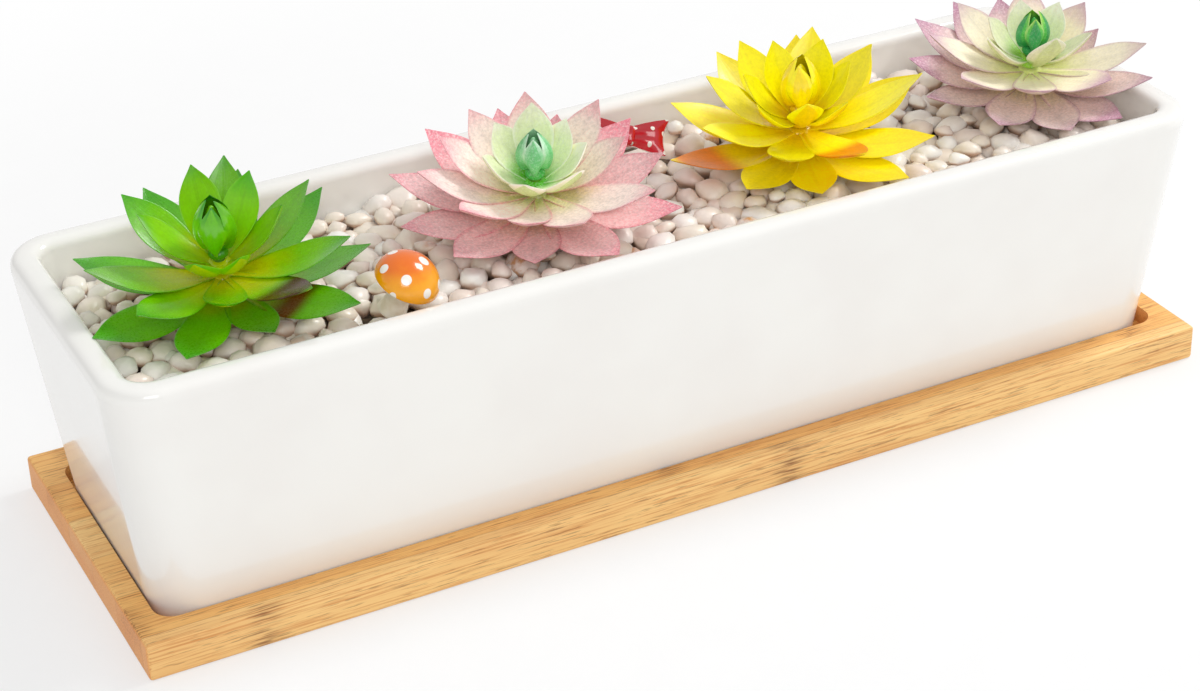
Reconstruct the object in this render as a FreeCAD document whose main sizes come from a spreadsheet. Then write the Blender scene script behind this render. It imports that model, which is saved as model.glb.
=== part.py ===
import FreeCAD, Part
import math
import os
import random

import Sketcher
from FreeCAD import Placement, Rotation, Vector

# Long ceramic herb planter on a bamboo tray, planted with four moulded succulents.
# All sizes are millimetres. X runs along the trough, Y across it and Z up, with the
# origin under the middle of the tray. The driving sizes are cells of one sheet, and
# what fits, seats on or lines up with a piece takes its size from the same cells.

OUT_DIR = "parts"
UP = Vector(0, 0, 1)

SIZES = {
    # Tray
    "tray_height": 10.0,
    "tray_end_overhang": 0.5,
    "tray_side_overhang": 3.0,
    "tray_edge_chamfer": 0.8,
    "recess_depth": 5.0,
    "recess_gap": 0.9,
    "recess_corner": 5.5,
    # Trough
    "rim_width": 92.0,
    "left_room": 43.5,
    "right_room": 25.5,
    "pot_height": 70.0,
    "pot_wall": 7.6,
    "pot_floor": 7.0,
    "side_lean": 6.8,
    "pot_corner": 13.0,
    "rim_round": 3.6,
    "cavity_corner": 8.0,
    "foot_chamfer": 1.6,
    "foot_border": 9.0,
    "foot_hollow": 1.5,
    "drain_bore": 10.0,
    "drain_spacing": 92.0,
    # Filling
    "fill_drop": 7.0,
    "fill_gap": 0.2,
    "bed_depth": 8.0,
    "stone_radius": 5.8,
    "stone_height": 6.4,
    "low_stone_height": 3.6,
    "stone_gap": 0.35,
    "wall_room": 0.6,
    # Stems, and the hubs that the tiers of leaves are threaded by
    "stem_radius": 1.6,
    "stem_depth": 34.0,
    "stem_fit": 0.35,
    "knee_rise": 0.35,
    "hub_radius": 4.2,
    "hub_height": 3.4,
    "hub_fit": 0.1,
    "first_hub_rise": 3.15,
    "bud_hub_radius": 3.0,
    # Room between each rosette and the wall, and between neighbouring rosettes
    "green_leaf_room": 0.4,
    "rose_leaf_room": 2.0,
    "yellow_leaf_room": 1.4,
    "lilac_leaf_room": 1.9,
    "green_rose_gap": 10.6,
    "rose_yellow_gap": 3.6,
    "yellow_lilac_gap": 0.5,
    # Leaves
    "green_leaf_breadth": 13.6,
    "rose_leaf_breadth": 15.0,
    "yellow_leaf_breadth": 14.4,
    "lilac_leaf_breadth": 15.2,
    "leaf_thickness": 3.0,
    "bud_leaf_length": 15.0,
    "bud_leaf_breadth": 8.0,
    # Mushroom
    "cap_radius": 8.3,
    "cap_height": 8.2,
    "stalk_top_radius": 2.9,
    "stalk_foot_radius": 3.9,
    "stalk_length": 9.0,
    # Bow
    "bow_half_length": 11.0,
    "bow_end_height": 11.0,
    "bow_waist_height": 4.4,
    "bow_thickness": 4.4,
    "knot_width": 4.6,
    "knot_height": 5.6,
    "knot_thickness": 5.6,
    "seat_gap": 0.3,
}

# Every stem is bent over by this many degrees, towards this turn from +X
LEAN_ANGLE = 12.0
LEAN_TURN = 244.0

# A leaf's section as shares of its half breadth and its thickness, and its rings as
# the share of the length where each lies and the scale of the section there
LEAF_SECTION_SHARES = ((-1.0, 0.32), (0.0, 0.0), (1.0, 0.32), (0.0, -0.68))
LEAF_RING_SHARES = ((0.0, 0.30), (0.54, 1.0), (0.86, 0.58))
LEAF_BOW_SHARE = 0.28

# Flat sides of the hubs and stems, and of the mushroom
HUB_SIDES = 8
MUSHROOM_SIDES = 16

# Leaves of each tier: turn and rise in degrees, then the share of the longest leaf
LEAF_SHARES = {
    "green": {
        "lower_leaves": ((20, 16, 0.92), (58, 22, 0.84), (104, 20, 0.88), (150, 12, 0.95),
                         (197, 12, 1.02), (236, 12, 0.93), (275, 10, 0.72), (308, 11, 1.03),
                         (340, 14, 0.98)),
        "middle_leaves": ((5, 36, 0.81), (62, 38, 0.77), (128, 36, 0.79), (183, 27, 0.96),
                          (216, 22, 0.92), (255, 24, 0.66), (293, 22, 0.9), (329, 23, 0.92)),
        "inner_leaves": ((90, 57, 0.64), (30, 54, 0.61), (160, 48, 0.64), (234, 42, 0.53),
                         (273, 42, 0.48), (340, 46, 0.59)),
    },
    "rose": {
        "lower_leaves": ((18, 16, 0.94), (52, 20, 0.74), (84, 18, 0.85), (122, 21, 0.95),
                         (151, 15, 1.04), (180, 12, 1.04), (208, 12, 0.96), (243, 10, 0.8),
                         (279, 11, 0.98), (320, 8, 1.04), (347, 18, 0.94)),
        "middle_leaves": ((20, 36, 0.78), (68, 36, 0.74), (112, 38, 0.74), (146, 37, 0.79),
                          (170, 28, 0.92), (203, 26, 0.84), (236, 23, 0.7), (269, 22, 0.83),
                          (307, 21, 0.98), (342, 35, 0.74)),
        "inner_leaves": ((65, 60, 0.55), (118, 54, 0.5), (172, 46, 0.48), (232, 40, 0.46),
                         (288, 40, 0.56), (335, 46, 0.48), (18, 52, 0.48)),
    },
    "yellow": {
        "lower_leaves": ((25, 21, 0.93), (62, 20, 0.9), (100, 19, 0.92), (148, 19, 0.95),
                         (179, 11, 1.04), (215, 11, 0.86), (252, 10, 0.8), (290, 9, 0.98),
                         (318, 12, 0.98), (354, 19, 0.95)),
        "middle_leaves": ((5, 40, 0.78), (52, 40, 0.75), (106, 40, 0.75), (150, 36, 0.79),
                          (186, 25, 0.9), (232, 23, 0.8), (274, 22, 0.87), (334, 29, 0.96)),
        "inner_leaves": ((30, 59, 0.58), (96, 59, 0.58), (160, 50, 0.58), (198, 40, 0.53),
                         (250, 52, 0.5), (290, 42, 0.53), (345, 54, 0.56)),
    },
    "lilac": {
        "lower_leaves": ((0, 24, 0.64), (36, 20, 0.7), (72, 14, 0.82), (102, 19, 0.86),
                         (128, 18, 0.96), (153, 14, 0.92), (178, 10, 0.9), (220, 12, 0.84),
                         (258, 10, 0.84), (285, 9, 0.9), (307, 19, 0.98)),
        "middle_leaves": ((12, 36, 0.64), (60, 31, 0.7), (118, 32, 0.72), (158, 28, 0.86),
                          (196, 23, 0.82), (240, 24, 0.66), (284, 23, 0.8), (318, 25, 0.9)),
        "inner_leaves": ((20, 52, 0.46), (75, 51, 0.44), (140, 49, 0.46), (180, 42, 0.5),
                         (262, 54, 0.54), (308, 42, 0.55)),
    },
}
TIERS = 3

# Height of the leaves' roots and depth of the bore, as shares of the hub's height
TIER_SHARES = (0.5, 1.0)
BUD_SHARES = (0.8, 0.6)
BUD_LEAF_SHARES = ((64, 72, 1.0), (154, 73, 0.96), (244, 68, 0.92), (334, 73, 1.0))
BUD_SIZE_SHARES = {"green": 1.0, "rose": 0.76, "yellow": 1.0, "lilac": 0.72}

# Places across the trough, as shares of the half width of its mouth
PLANT_SIDE_SHARES = {"green": 0.0, "rose": 0.0, "yellow": -0.03, "lilac": -0.02}

# Ornaments: share of the way from one stem to the next, share of the mouth's half
# width, then the lean and turn in degrees
MUSHROOM_SHARES = (0.395, -0.64)
MUSHROOM_LEAN = 27.0
MUSHROOM_TURN = -45.0
BOW_SHARES = (0.52, 0.68)
BOW_LEAN = 35.0
BOW_TURN = -38.0

# Domed cap, from its underside up: shares of its radius and of its height
CAP_SHARES = ((0.84, 0.0), (1.0, 0.16), (0.95, 0.42), (0.76, 0.72), (0.44, 0.92), (0.14, 1.0))

# Stones: sizes tried in turn, tries for each, and the shape of one stone
STONE_SEED = 12
STONE_PASSES = ((1.0, 6000), (0.84, 6000), (0.70, 9000))
STONE_SIDES = 5
STONE_RING_SHARES = ((0.0, 0.64), (0.5, 1.0), (1.0, 0.54))
STONE_OUT_SHARES = (0.80, 1.0)
STONE_TALL_SHARES = (0.76, 1.0)

doc = FreeCAD.newDocument("herb_planter")
sheet = doc.addObject("Spreadsheet::Sheet", "sizes")
subparts = []


def fill_sheet():
    """Write every driving size into the sheet, one row each, with its alias."""
    for row, (name, value) in enumerate(SIZES.items(), start=1):
        sheet.set(f"A{row}", name)
        sheet.set(f"B{row}", str(value))
        sheet.setAlias(f"B{row}", name)
    doc.recompute()


def size(name):
    """Read one driving size back from the sheet."""
    return float(sheet.get(name))


def keep(label, piece):
    """Name an object after the piece that it is, and list it for writing."""
    piece.Label = label
    subparts.append(piece)
    return piece


def keep_shape(label, shape, placement=None):
    """Keep a computed shape as a feature, then put it in its place."""
    feature = doc.addObject("Part::Feature", label)
    feature.Shape = shape
    feature.Placement = placement or Placement()
    return keep(label, feature)


def bearing(turn):
    """Unit vector in the XY plane at this turn from +X, in degrees."""
    return Vector(math.cos(math.radians(turn)), math.sin(math.radians(turn)), 0)


class Layout:
    """Places along and up the trough that follow from the sheet.

    The trough is as long as its plants need: each rosette reaches to the wall but for
    its room, the rosettes stand side by side with a gap, and the ends have their own
    room. The same sums are given as expressions, for what is bound to the sheet.
    """

    PLANTS = ("green", "rose", "yellow", "lilac")

    def __init__(self):
        self.mouth = size("rim_width") / 2 - size("pot_wall")
        self.leaf = {plant: self.mouth - size(f"{plant}_leaf_room") for plant in self.PLANTS}
        self.foot = size("tray_height") - size("recess_depth")
        self.fill_top = self.foot + size("pot_height") - size("fill_drop")
        self.bed_top = self.fill_top - size("stone_height")
        self.soil_top = self.bed_top - size("bed_depth")
        along = size("left_room")
        self.along = {"green": along}
        for first, second in zip(self.PLANTS, self.PLANTS[1:]):
            along += self.leaf[first] + self.leaf[second] + size(f"{first}_{second}_gap")
            self.along[second] = along
        self.rim_length = along + size("right_room")

    def place(self, plant):
        """Where a plant's stem stands, in plan."""
        side = PLANT_SIDE_SHARES[plant] * self.mouth
        return Vector(self.along[plant] - self.rim_length / 2, side, 0)

    def between(self, first, second, shares):
        """A point between two stems, in plan."""
        start, end = self.place(first), self.place(second)
        return Vector(start.x + shares[0] * (end.x - start.x), shares[1] * self.mouth, 0)

    def inner_half(self, height):
        """Half length and half width of the cavity at a height above the table."""
        down_share = 1 - (height - self.foot) / size("pot_height")
        in_by = size("pot_wall") + size("side_lean") * down_share
        return self.rim_length / 2 - in_by, size("rim_width") / 2 - in_by

    @classmethod
    def along_sum(cls, plant):
        """Expression for a stem's distance from the left end of the rim."""
        terms = ["sizes.left_room"]
        for first, second in zip(cls.PLANTS, cls.PLANTS[1:]):
            if first == plant:
                break
            reach = "sizes.rim_width / 2 - sizes.pot_wall"
            terms.append(f"2 * ({reach}) - sizes.{first}_leaf_room"
                         f" - sizes.{second}_leaf_room + sizes.{first}_{second}_gap")
        return " + ".join(terms)

    @classmethod
    def rim_length_sum(cls):
        """Expression for the length of the rim."""
        return f"{cls.along_sum(cls.PLANTS[-1])} + sizes.right_room"


FOOT_SUM = "sizes.tray_height - sizes.recess_depth"
RIM_SUM = f"{FOOT_SUM} + sizes.pot_height"
FLOOR_SUM = f"{FOOT_SUM} + sizes.pot_floor"
BED_SUM = f"{RIM_SUM} - sizes.fill_drop - sizes.stone_height"
SOIL_SUM = f"{BED_SUM} - sizes.bed_depth"


def lean_at(height_sum):
    """Expression for how far the leaning side has moved in at this height."""
    above = f"({height_sum} - ({FOOT_SUM}))"
    return f"sizes.side_lean * (1 - {above} / sizes.pot_height)"


def find_plane(body, role):
    """Origin plane of a body, by its role."""
    return next(item for item in body.Origin.OriginFeatures if item.Role == role)


def rounded_sketch(body, name, in_by, corner, height):
    """Rounded rectangle, set in from the rim's outline and bound to the sheet."""
    sketch = body.newObject("Sketcher::SketchObject", name)
    sketch.AttachmentSupport = (find_plane(body, "XY_Plane"), [""])
    sketch.MapMode = "FlatFace"
    sketch.setExpression("AttachmentOffset.Base.z", height)
    layout = Layout()
    half_x, half_y, radius = layout.rim_length / 2, layout.mouth, size("recess_corner")
    centre_x, centre_y = half_x - radius, half_y - radius
    centres = ((centre_x, centre_y), (-centre_x, centre_y),
               (-centre_x, -centre_y), (centre_x, -centre_y))
    arcs = []
    for quarter, (x, y) in enumerate(centres):
        start = quarter * math.pi / 2
        circle = Part.Circle(Vector(x, y, 0), UP, radius)
        arcs.append(sketch.addGeometry(Part.ArcOfCircle(circle, start, start + math.pi / 2)))
    lines = []
    for quarter, arc in enumerate(arcs):
        following = arcs[(quarter + 1) % len(arcs)]
        line = Part.LineSegment(sketch.getPoint(arc, 2), sketch.getPoint(following, 1))
        lines.append(sketch.addGeometry(line))
    constrain = sketch.addConstraint
    for quarter, (arc, line) in enumerate(zip(arcs, lines)):
        following = arcs[(quarter + 1) % len(arcs)]
        constrain(Sketcher.Constraint("Tangent", arc, 2, line, 1))
        constrain(Sketcher.Constraint("Tangent", line, 2, following, 1))
    for other in arcs[1:]:
        constrain(Sketcher.Constraint("Equal", arcs[0], other))
    for level, upright in (lines[:2], lines[2:]):
        constrain(Sketcher.Constraint("Horizontal", level))
        constrain(Sketcher.Constraint("Vertical", upright))
    constrain(Sketcher.Constraint("Symmetric", arcs[0], 3, arcs[2], 3, -1, 1))
    across = Sketcher.Constraint("DistanceX", lines[1], 1, lines[3], 1, 2 * half_x)
    deep = Sketcher.Constraint("DistanceY", lines[2], 1, lines[0], 1, 2 * half_y)
    rounding = Sketcher.Constraint("Radius", arcs[0], radius)
    for label, constraint, expression in (
            ("length", across, f"{Layout.rim_length_sum()} - 2 * ({in_by})"),
            ("width", deep, f"sizes.rim_width - 2 * ({in_by})"),
            ("corner", rounding, corner)):
        sketch.renameConstraint(constrain(constraint), label)
        sketch.setExpression(f"Constraints.{label}", expression)
    return sketch


def tapered_block(name, floor, top, in_by, corner, body=None, kind="Additive"):
    """Block with leaning sides between two heights; its corners are cones."""
    body = body or doc.addObject("PartDesign::Body", f"{name}_body")
    low, high = [rounded_sketch(body, f"{name}_{end}", f"{lean_at(height)} + {in_by}",
                                f"{corner} - {lean_at(height)}", height)
                 for end, height in (("low", floor), ("high", top))]
    loft = body.newObject(f"PartDesign::{kind}Loft", name)
    loft.Profile = low
    loft.Sections = [high]
    loft.Ruled = True
    doc.recompute()
    return body


def edges_between(shape, low, high):
    """Names of the edges that run from one height to the other."""
    near = size("fill_gap") / 2
    return [f"Edge{index}" for index, edge in enumerate(shape.Edges, start=1)
            if abs(edge.BoundBox.ZMin - low) < near and abs(edge.BoundBox.ZMax - high) < near]


def ease_edges(body, name, kind, spans, setting, amount):
    """Fillet or chamfer the edges of a body that run between these pairs of heights."""
    base = body.Tip
    names = [edge for low, high in spans for edge in edges_between(base.Shape, low, high)]
    eased = body.newObject(f"PartDesign::{kind}", name)
    eased.Base = (base, names)
    eased.setExpression(setting, amount)
    doc.recompute()


def make_tray():
    """Bamboo board with a recess that locates the foot of the trough."""
    body = doc.addObject("PartDesign::Body", "tray_body")
    board = body.newObject("PartDesign::AdditiveBox", "board")
    length = f"({Layout.rim_length_sum()} + 2 * sizes.tray_end_overhang)"
    width = "(sizes.rim_width + 2 * sizes.tray_side_overhang)"
    for setting, expression in (("Length", length), ("Width", width),
                                ("Height", "sizes.tray_height"),
                                ("Placement.Base.x", f"{length} / -2"),
                                ("Placement.Base.y", f"{width} / -2")):
        board.setExpression(setting, expression)
    doc.recompute()
    top = size("tray_height")
    ease_edges(body, "board_edges", "Chamfer", [(0, 0), (0, top), (top, top)], "Size",
               "sizes.tray_edge_chamfer")
    seat = rounded_sketch(body, "recess_outline", "sizes.side_lean - sizes.recess_gap",
                          "sizes.recess_corner", "sizes.tray_height")
    recess = body.newObject("PartDesign::Pocket", "recess")
    recess.Profile = seat
    recess.setExpression("Length", "sizes.recess_depth")
    doc.recompute()
    return keep("bamboo_tray", body)


def make_pot(layout):
    """Ceramic trough: leaning walls, full round rim, hollow foot and drain holes."""
    body = tapered_block("pot", FOOT_SUM, RIM_SUM, "0", "sizes.pot_corner")
    rim_top = layout.foot + size("pot_height")
    tapered_block("cavity", FLOOR_SUM, RIM_SUM, "sizes.pot_wall", "sizes.cavity_corner",
                  body, "Subtractive")
    ease_edges(body, "rim_rounding", "Fillet", [(rim_top, rim_top)], "Radius",
               "sizes.rim_round")
    ease_edges(body, "foot_easing", "Chamfer", [(layout.foot, layout.foot)], "Size",
               "sizes.foot_chamfer")
    under = rounded_sketch(body, "foot_ring", "sizes.side_lean + sizes.foot_border",
                           "sizes.recess_corner", FOOT_SUM)
    hollow = body.newObject("PartDesign::Pocket", "foot_hollow")
    hollow.Profile = under
    hollow.Reversed = True
    hollow.setExpression("Length", "sizes.foot_hollow")
    doc.recompute()
    ring = body.newObject("Sketcher::SketchObject", "drain_outline")
    ring.AttachmentSupport = (find_plane(body, "XY_Plane"), [""])
    ring.MapMode = "FlatFace"
    ring.setExpression("AttachmentOffset.Base.z", FOOT_SUM)
    ring.setExpression("AttachmentOffset.Base.x", "-1 * sizes.drain_spacing")
    circle = ring.addGeometry(Part.Circle(Vector(), UP, size("drain_bore") / 2))
    ring.addConstraint(Sketcher.Constraint("Coincident", circle, 3, -1, 1))
    bore = ring.addConstraint(Sketcher.Constraint("Diameter", circle, size("drain_bore")))
    ring.renameConstraint(bore, "bore")
    ring.setExpression("Constraints.bore", "sizes.drain_bore")
    drain = body.newObject("PartDesign::Pocket", "drain")
    drain.Profile = ring
    drain.Reversed = True
    drain.setExpression("Length", "sizes.pot_floor + sizes.foot_hollow")
    doc.recompute()
    row = body.newObject("PartDesign::LinearPattern", "drain_row")
    row.Originals = [drain]
    row.Direction = (find_plane(body, "X_Axis"), [""])
    row.setExpression("Length", "2 * sizes.drain_spacing")
    row.Occurrences = 3
    body.Tip = row
    doc.recompute()
    return keep("planter_pot", body)


def make_filling(label, floor, top):
    """Layer of filling that follows the cavity, bored for the four stems."""
    block = tapered_block(f"{label}_block", floor, top, "sizes.pot_wall + sizes.fill_gap",
                          "sizes.cavity_corner - sizes.fill_gap")
    bores = []
    for plant in Layout.PLANTS:
        bore = doc.addObject("Part::Prism", f"{label}_{plant}_bore")
        bore.Polygon = HUB_SIDES
        bore.setExpression("Circumradius", "sizes.stem_radius + sizes.stem_fit")
        bore.setExpression("Height", "sizes.pot_height")
        bore.setExpression("Placement.Base.x",
                           f"{Layout.along_sum(plant)} - ({Layout.rim_length_sum()}) / 2")
        bore.setExpression("Placement.Base.y", f"{PLANT_SIDE_SHARES[plant]}"
                           " * (sizes.rim_width / 2 - sizes.pot_wall)")
        bore.setExpression("Placement.Base.z",
                           f"{BED_SUM} - sizes.stem_depth - sizes.seat_gap")
        bores.append(bore)
    tool = doc.addObject("Part::MultiFuse", f"{label}_bores")
    tool.Shapes = bores
    cut = doc.addObject("Part::Cut", f"{label}_cut")
    cut.Base = block
    cut.Tool = tool
    doc.recompute()
    return keep(label, cut)


def stacked_solid(rings, tip=None):
    """Solid through parallel rings of points, closed by a flat face or by a tip."""
    faces = [Part.Face(Part.makePolygon(rings[0] + rings[0][:1]))]
    for low, high in zip(rings, rings[1:]):
        for index in range(len(low)):
            after = (index + 1) % len(low)
            side = [low[index], low[after], high[after], high[index], low[index]]
            faces.append(Part.Face(Part.makePolygon(side)))
    last = rings[-1]
    if tip is None:
        faces.append(Part.Face(Part.makePolygon(last + last[:1])))
    else:
        for index in range(len(last)):
            after = (index + 1) % len(last)
            side = [last[index], last[after], tip, last[index]]
            faces.append(Part.Face(Part.makePolygon(side)))
    return Part.makeSolid(Part.makeShell(faces))


def ring_points(radius, centre, sides):
    """Corners of a level polygon round a centre."""
    return [centre + bearing(360.0 * index / sides) * radius for index in range(sides)]


def turned_solid(profile, sides):
    """Solid with flat sides about Z, through pairs of radius and height."""
    return stacked_solid([ring_points(radius, UP * height, sides)
                          for radius, height in profile])


def stone_solid(centre, radius, height, spin, chance):
    """One rounded stone that lies flat, as three rings of an uneven outline."""
    outline = []
    for index in range(STONE_SIDES):
        out = radius * chance.uniform(*STONE_OUT_SHARES)
        outline.append(bearing(spin + 360.0 * index / STONE_SIDES) * out)
    rings = [[centre + point * scale + UP * height * up for point in outline]
             for up, scale in STONE_RING_SHARES]
    return stacked_solid(rings)


def scatter_stones(layout, stems, seats):
    """Loose top layer of stones, ever smaller ones in what is left, low under seats."""
    chance = random.Random(STONE_SEED)
    half_x, half_y = layout.inner_half(layout.bed_top)
    gap, corner = size("stone_gap"), size("cavity_corner")
    stem_ring = size("stem_radius") + size("stem_fit")
    laid = [(seat.Base, size("stone_radius")) for seat, _ in seats]
    for share, tries in STONE_PASSES:
        radius = size("stone_radius") * share
        room = radius + size("wall_room")
        for _ in range(tries):
            spot = Vector(chance.uniform(room - half_x, half_x - room),
                          chance.uniform(room - half_y, half_y - room), layout.bed_top)
            over_x = abs(spot.x) - (half_x - corner)
            over_y = abs(spot.y) - (half_y - corner)
            in_corner = over_x > 0 and over_y > 0
            if in_corner and math.hypot(over_x, over_y) > corner - room:
                continue
            if any(spot.distanceToPoint(other) < radius + reach + gap
                   for other, reach in laid):
                continue
            if any((spot - stem).Length < radius + stem_ring + gap for stem in stems):
                continue
            laid.append((spot, radius))
    stones = []
    for spot, radius in laid:
        tall = size("stone_height") * chance.uniform(*STONE_TALL_SHARES)
        if any(lies_under(spot, radius, *seat) for seat in seats):
            tall = size("low_stone_height")
        stones.append(stone_solid(spot, radius, tall, chance.uniform(0, 360), chance))
    return keep_shape("top_pebbles", Part.makeCompound(stones))


def lies_under(spot, radius, seat, half_sizes):
    """True if a stone reaches under the rectangle that an ornament stands over."""
    near = seat.inverse().multVec(spot)
    half_x, half_y = half_sizes
    return abs(near.x) < half_x + radius and abs(near.y) < half_y + radius


def head_placement(layout, plant):
    """Frame of a plant's head: origin at the knee of the stem, Z along the stem."""
    knee = layout.place(plant) + UP * (layout.fill_top + size("knee_rise"))
    return Placement(knee, Rotation(UP.cross(bearing(LEAN_TURN)), LEAN_ANGLE))


def stem_shape(layout, plant):
    """Plastic stem: upright in the soil, with a knee above the stones, then leaning."""
    head = head_placement(layout, plant)
    along = head.Rotation.multVec(UP)
    mitre = UP + along
    foot = layout.place(plant) + UP * (layout.bed_top - size("stem_depth"))
    threaded = size("first_hub_rise") + (TIERS + BUD_SHARES[1]) * size("hub_height")
    top = head.Base + along * (threaded - size("hub_fit"))
    low = ring_points(size("stem_radius"), foot, HUB_SIDES)
    knee = [point + UP * ((head.Base - point).dot(mitre) / UP.dot(mitre)) for point in low]
    high = [point + along * (top - point).dot(along) for point in knee]
    return stacked_solid([low, knee, high])


def leaf_solid(length, breadth, turn, rise, height):
    """Keeled leaf from the hub outwards, bowed down in the middle, with a pointed tip."""
    thickness = size("leaf_thickness")

    def centre(share):
        bow = LEAF_BOW_SHARE * share * (1 - share)
        return Vector(share * length, 0, -bow * length)

    rings = []
    for share, scale in LEAF_RING_SHARES:
        rings.append([centre(share) + Vector(0, side * scale * breadth / 2,
                                             up * scale * thickness)
                      for side, up in LEAF_SECTION_SHARES])
    leaf = stacked_solid(rings, centre(1))
    leaf.rotate(Vector(), Vector(0, 1, 0), -rise)
    leaf.rotate(Vector(), UP, turn)
    leaf.translate(bearing(turn) * size("stem_radius") + UP * height)
    return leaf


def make_whorl(label, head, leaves, longest, breadth, level, hub_radius, shares):
    """Moulded leaves round a hub that is threaded on the stem, with one bore up it."""
    low, tall = size("first_hub_rise") + level * size("hub_height"), size("hub_height")
    leaf_share, bore_share = shares
    hub = turned_solid(((hub_radius, low), (hub_radius, low + tall)), HUB_SIDES)
    bore_radius = size("stem_radius") + size("hub_fit")
    bore = turned_solid(((bore_radius, low), (bore_radius, low + bore_share * tall)),
                        HUB_SIDES)
    solids = [leaf_solid(share * longest, breadth * math.sqrt(share), turn, rise,
                         low + leaf_share * tall) for turn, rise, share in leaves]
    whorl = hub.multiFuse(solids).cut(bore)
    return keep_shape(label, whorl.Solids[0], head)


def make_plant(layout, plant):
    """One succulent: bent stem, three tiers of leaves and the bud."""
    keep_shape(f"{plant}_stem", stem_shape(layout, plant))
    head = head_placement(layout, plant)
    for level, (tier, leaves) in enumerate(LEAF_SHARES[plant].items()):
        make_whorl(f"{plant}_{tier}", head, leaves, layout.leaf[plant],
                   size(f"{plant}_leaf_breadth"), level, size("hub_radius"), TIER_SHARES)
    scale = BUD_SIZE_SHARES[plant]
    make_whorl(f"{plant}_bud", head, BUD_LEAF_SHARES, scale * size("bud_leaf_length"),
               scale * size("bud_leaf_breadth"), TIERS, size("bud_hub_radius"), BUD_SHARES)


def seat_placement(layout, first, second, shares, turn):
    """Frame on the bed's top, turned as the ornament that stands there."""
    place = layout.between(first, second, shares) + UP * layout.bed_top
    return Placement(place, Rotation(UP, turn))


def ornament_placement(layout, place, lean_axis, lean, turn, drop):
    """Frame of an ornament that leans over and seats on the low stones."""
    rotation = Rotation(UP, turn) * Rotation(lean_axis, lean)
    seat = layout.bed_top + size("low_stone_height") + size("seat_gap")
    return Placement(place + UP * (seat + drop), rotation)


def make_mushroom(layout):
    """Toy mushroom that leans among the stones: a flared stalk under a domed cap."""
    lean = math.radians(MUSHROOM_LEAN)
    drop = size("stalk_foot_radius") * math.sin(lean)
    place = layout.between("green", "rose", MUSHROOM_SHARES)
    frame = ornament_placement(layout, place, Vector(0, 1, 0), MUSHROOM_LEAN,
                               MUSHROOM_TURN, drop)
    low = size("stalk_length")
    stalk = turned_solid(((size("stalk_foot_radius"), 0), (size("stalk_top_radius"), low)),
                         MUSHROOM_SIDES)
    keep_shape("mushroom_stalk", stalk, frame)
    cap = turned_solid([(out * size("cap_radius"), low + up * size("cap_height"))
                        for out, up in CAP_SHARES], MUSHROOM_SIDES)
    keep_shape("mushroom_cap", cap, frame)


def make_bow(layout):
    """Flat moulded bow with a separate knot wrapped round its waist."""
    lean = math.radians(BOW_LEAN)
    half_high, half_thick = size("bow_end_height") / 2, size("bow_thickness") / 2
    drop = half_high * math.cos(lean) + half_thick * math.sin(lean)
    place = layout.between("rose", "yellow", BOW_SHARES)
    frame = ornament_placement(layout, place, Vector(1, 0, 0), -BOW_LEAN, BOW_TURN, drop)
    half, waist = size("bow_half_length"), size("bow_waist_height") / 2
    corners = ((-half, -half_high), (0, -waist), (half, -half_high),
               (half, half_high), (0, waist), (-half, half_high))
    outline = [Vector(x, -half_thick, z) for x, z in corners]
    loops = Part.Face(Part.makePolygon(outline + outline[:1]))
    loops = loops.extrude(Vector(0, size("bow_thickness"), 0))
    wide, tall, deep = size("knot_width"), size("knot_height"), size("knot_thickness")
    knot = Part.makeBox(wide, deep, tall, Vector(-wide / 2, -deep / 2, -tall / 2))
    keep_shape("bow_loops", loops, frame)
    keep_shape("bow_knot", knot.cut(loops), frame)


def check_subparts():
    """Stop if any object failed, or any piece is empty or not valid."""
    for item in doc.Objects:
        if {"Invalid", "Error"} & set(item.State):
            raise RuntimeError(f"{item.Label} failed: {item.State}")
    for piece in subparts:
        if piece.Shape.isNull() or not piece.Shape.isValid():
            raise RuntimeError(f"{piece.Label} has no valid shape")


def write_subparts():
    """Write each piece to its own file and print what was made."""
    os.makedirs(OUT_DIR, exist_ok=True)
    for piece in subparts:
        piece.Shape.exportStep(os.path.join(OUT_DIR, f"{piece.Label}.step"))
        box = piece.Shape.BoundBox
        print(f"{piece.Label}: {len(piece.Shape.Solids)} solids, {piece.Shape.Volume:.0f} mm3,"
              f" x {box.XMin:.1f} {box.XMax:.1f}, y {box.YMin:.1f} {box.YMax:.1f},"
              f" z {box.ZMin:.1f} {box.ZMax:.1f}")


def main():
    """Build every piece of the planter and write it."""
    fill_sheet()
    layout = Layout()
    make_tray()
    make_pot(layout)
    make_filling("potting_soil", FLOOR_SUM, SOIL_SUM)
    make_filling("pebble_bed", SOIL_SUM, BED_SUM)
    for plant in Layout.PLANTS:
        make_plant(layout, plant)
    make_mushroom(layout)
    make_bow(layout)
    stems = [layout.place(plant) + UP * layout.bed_top for plant in Layout.PLANTS]
    foot, thick = size("stalk_foot_radius"), size("bow_end_height") / 2
    seats = [(seat_placement(layout, "green", "rose", MUSHROOM_SHARES, MUSHROOM_TURN),
              (foot, foot)),
             (seat_placement(layout, "rose", "yellow", BOW_SHARES, BOW_TURN),
              (size("bow_half_length"), thick))]
    scatter_stones(layout, stems, seats)
    doc.recompute()
    check_subparts()
    write_subparts()


main()
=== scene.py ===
"""Dresses the indoor planter: trough, tray, gravel, four moulded succulents, mushroom and bow.

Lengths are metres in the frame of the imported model: X along the trough, Y to its back and Z up,
from the middle of the tray's underside. MM turns millimetres into metres.
"""
import logging
import math
import random
from dataclasses import dataclass, field
from enum import Enum
from typing import Dict, List, Optional, Sequence, Tuple, Union

import bmesh
import bpy
from mathutils import Matrix, Vector, noise


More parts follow.
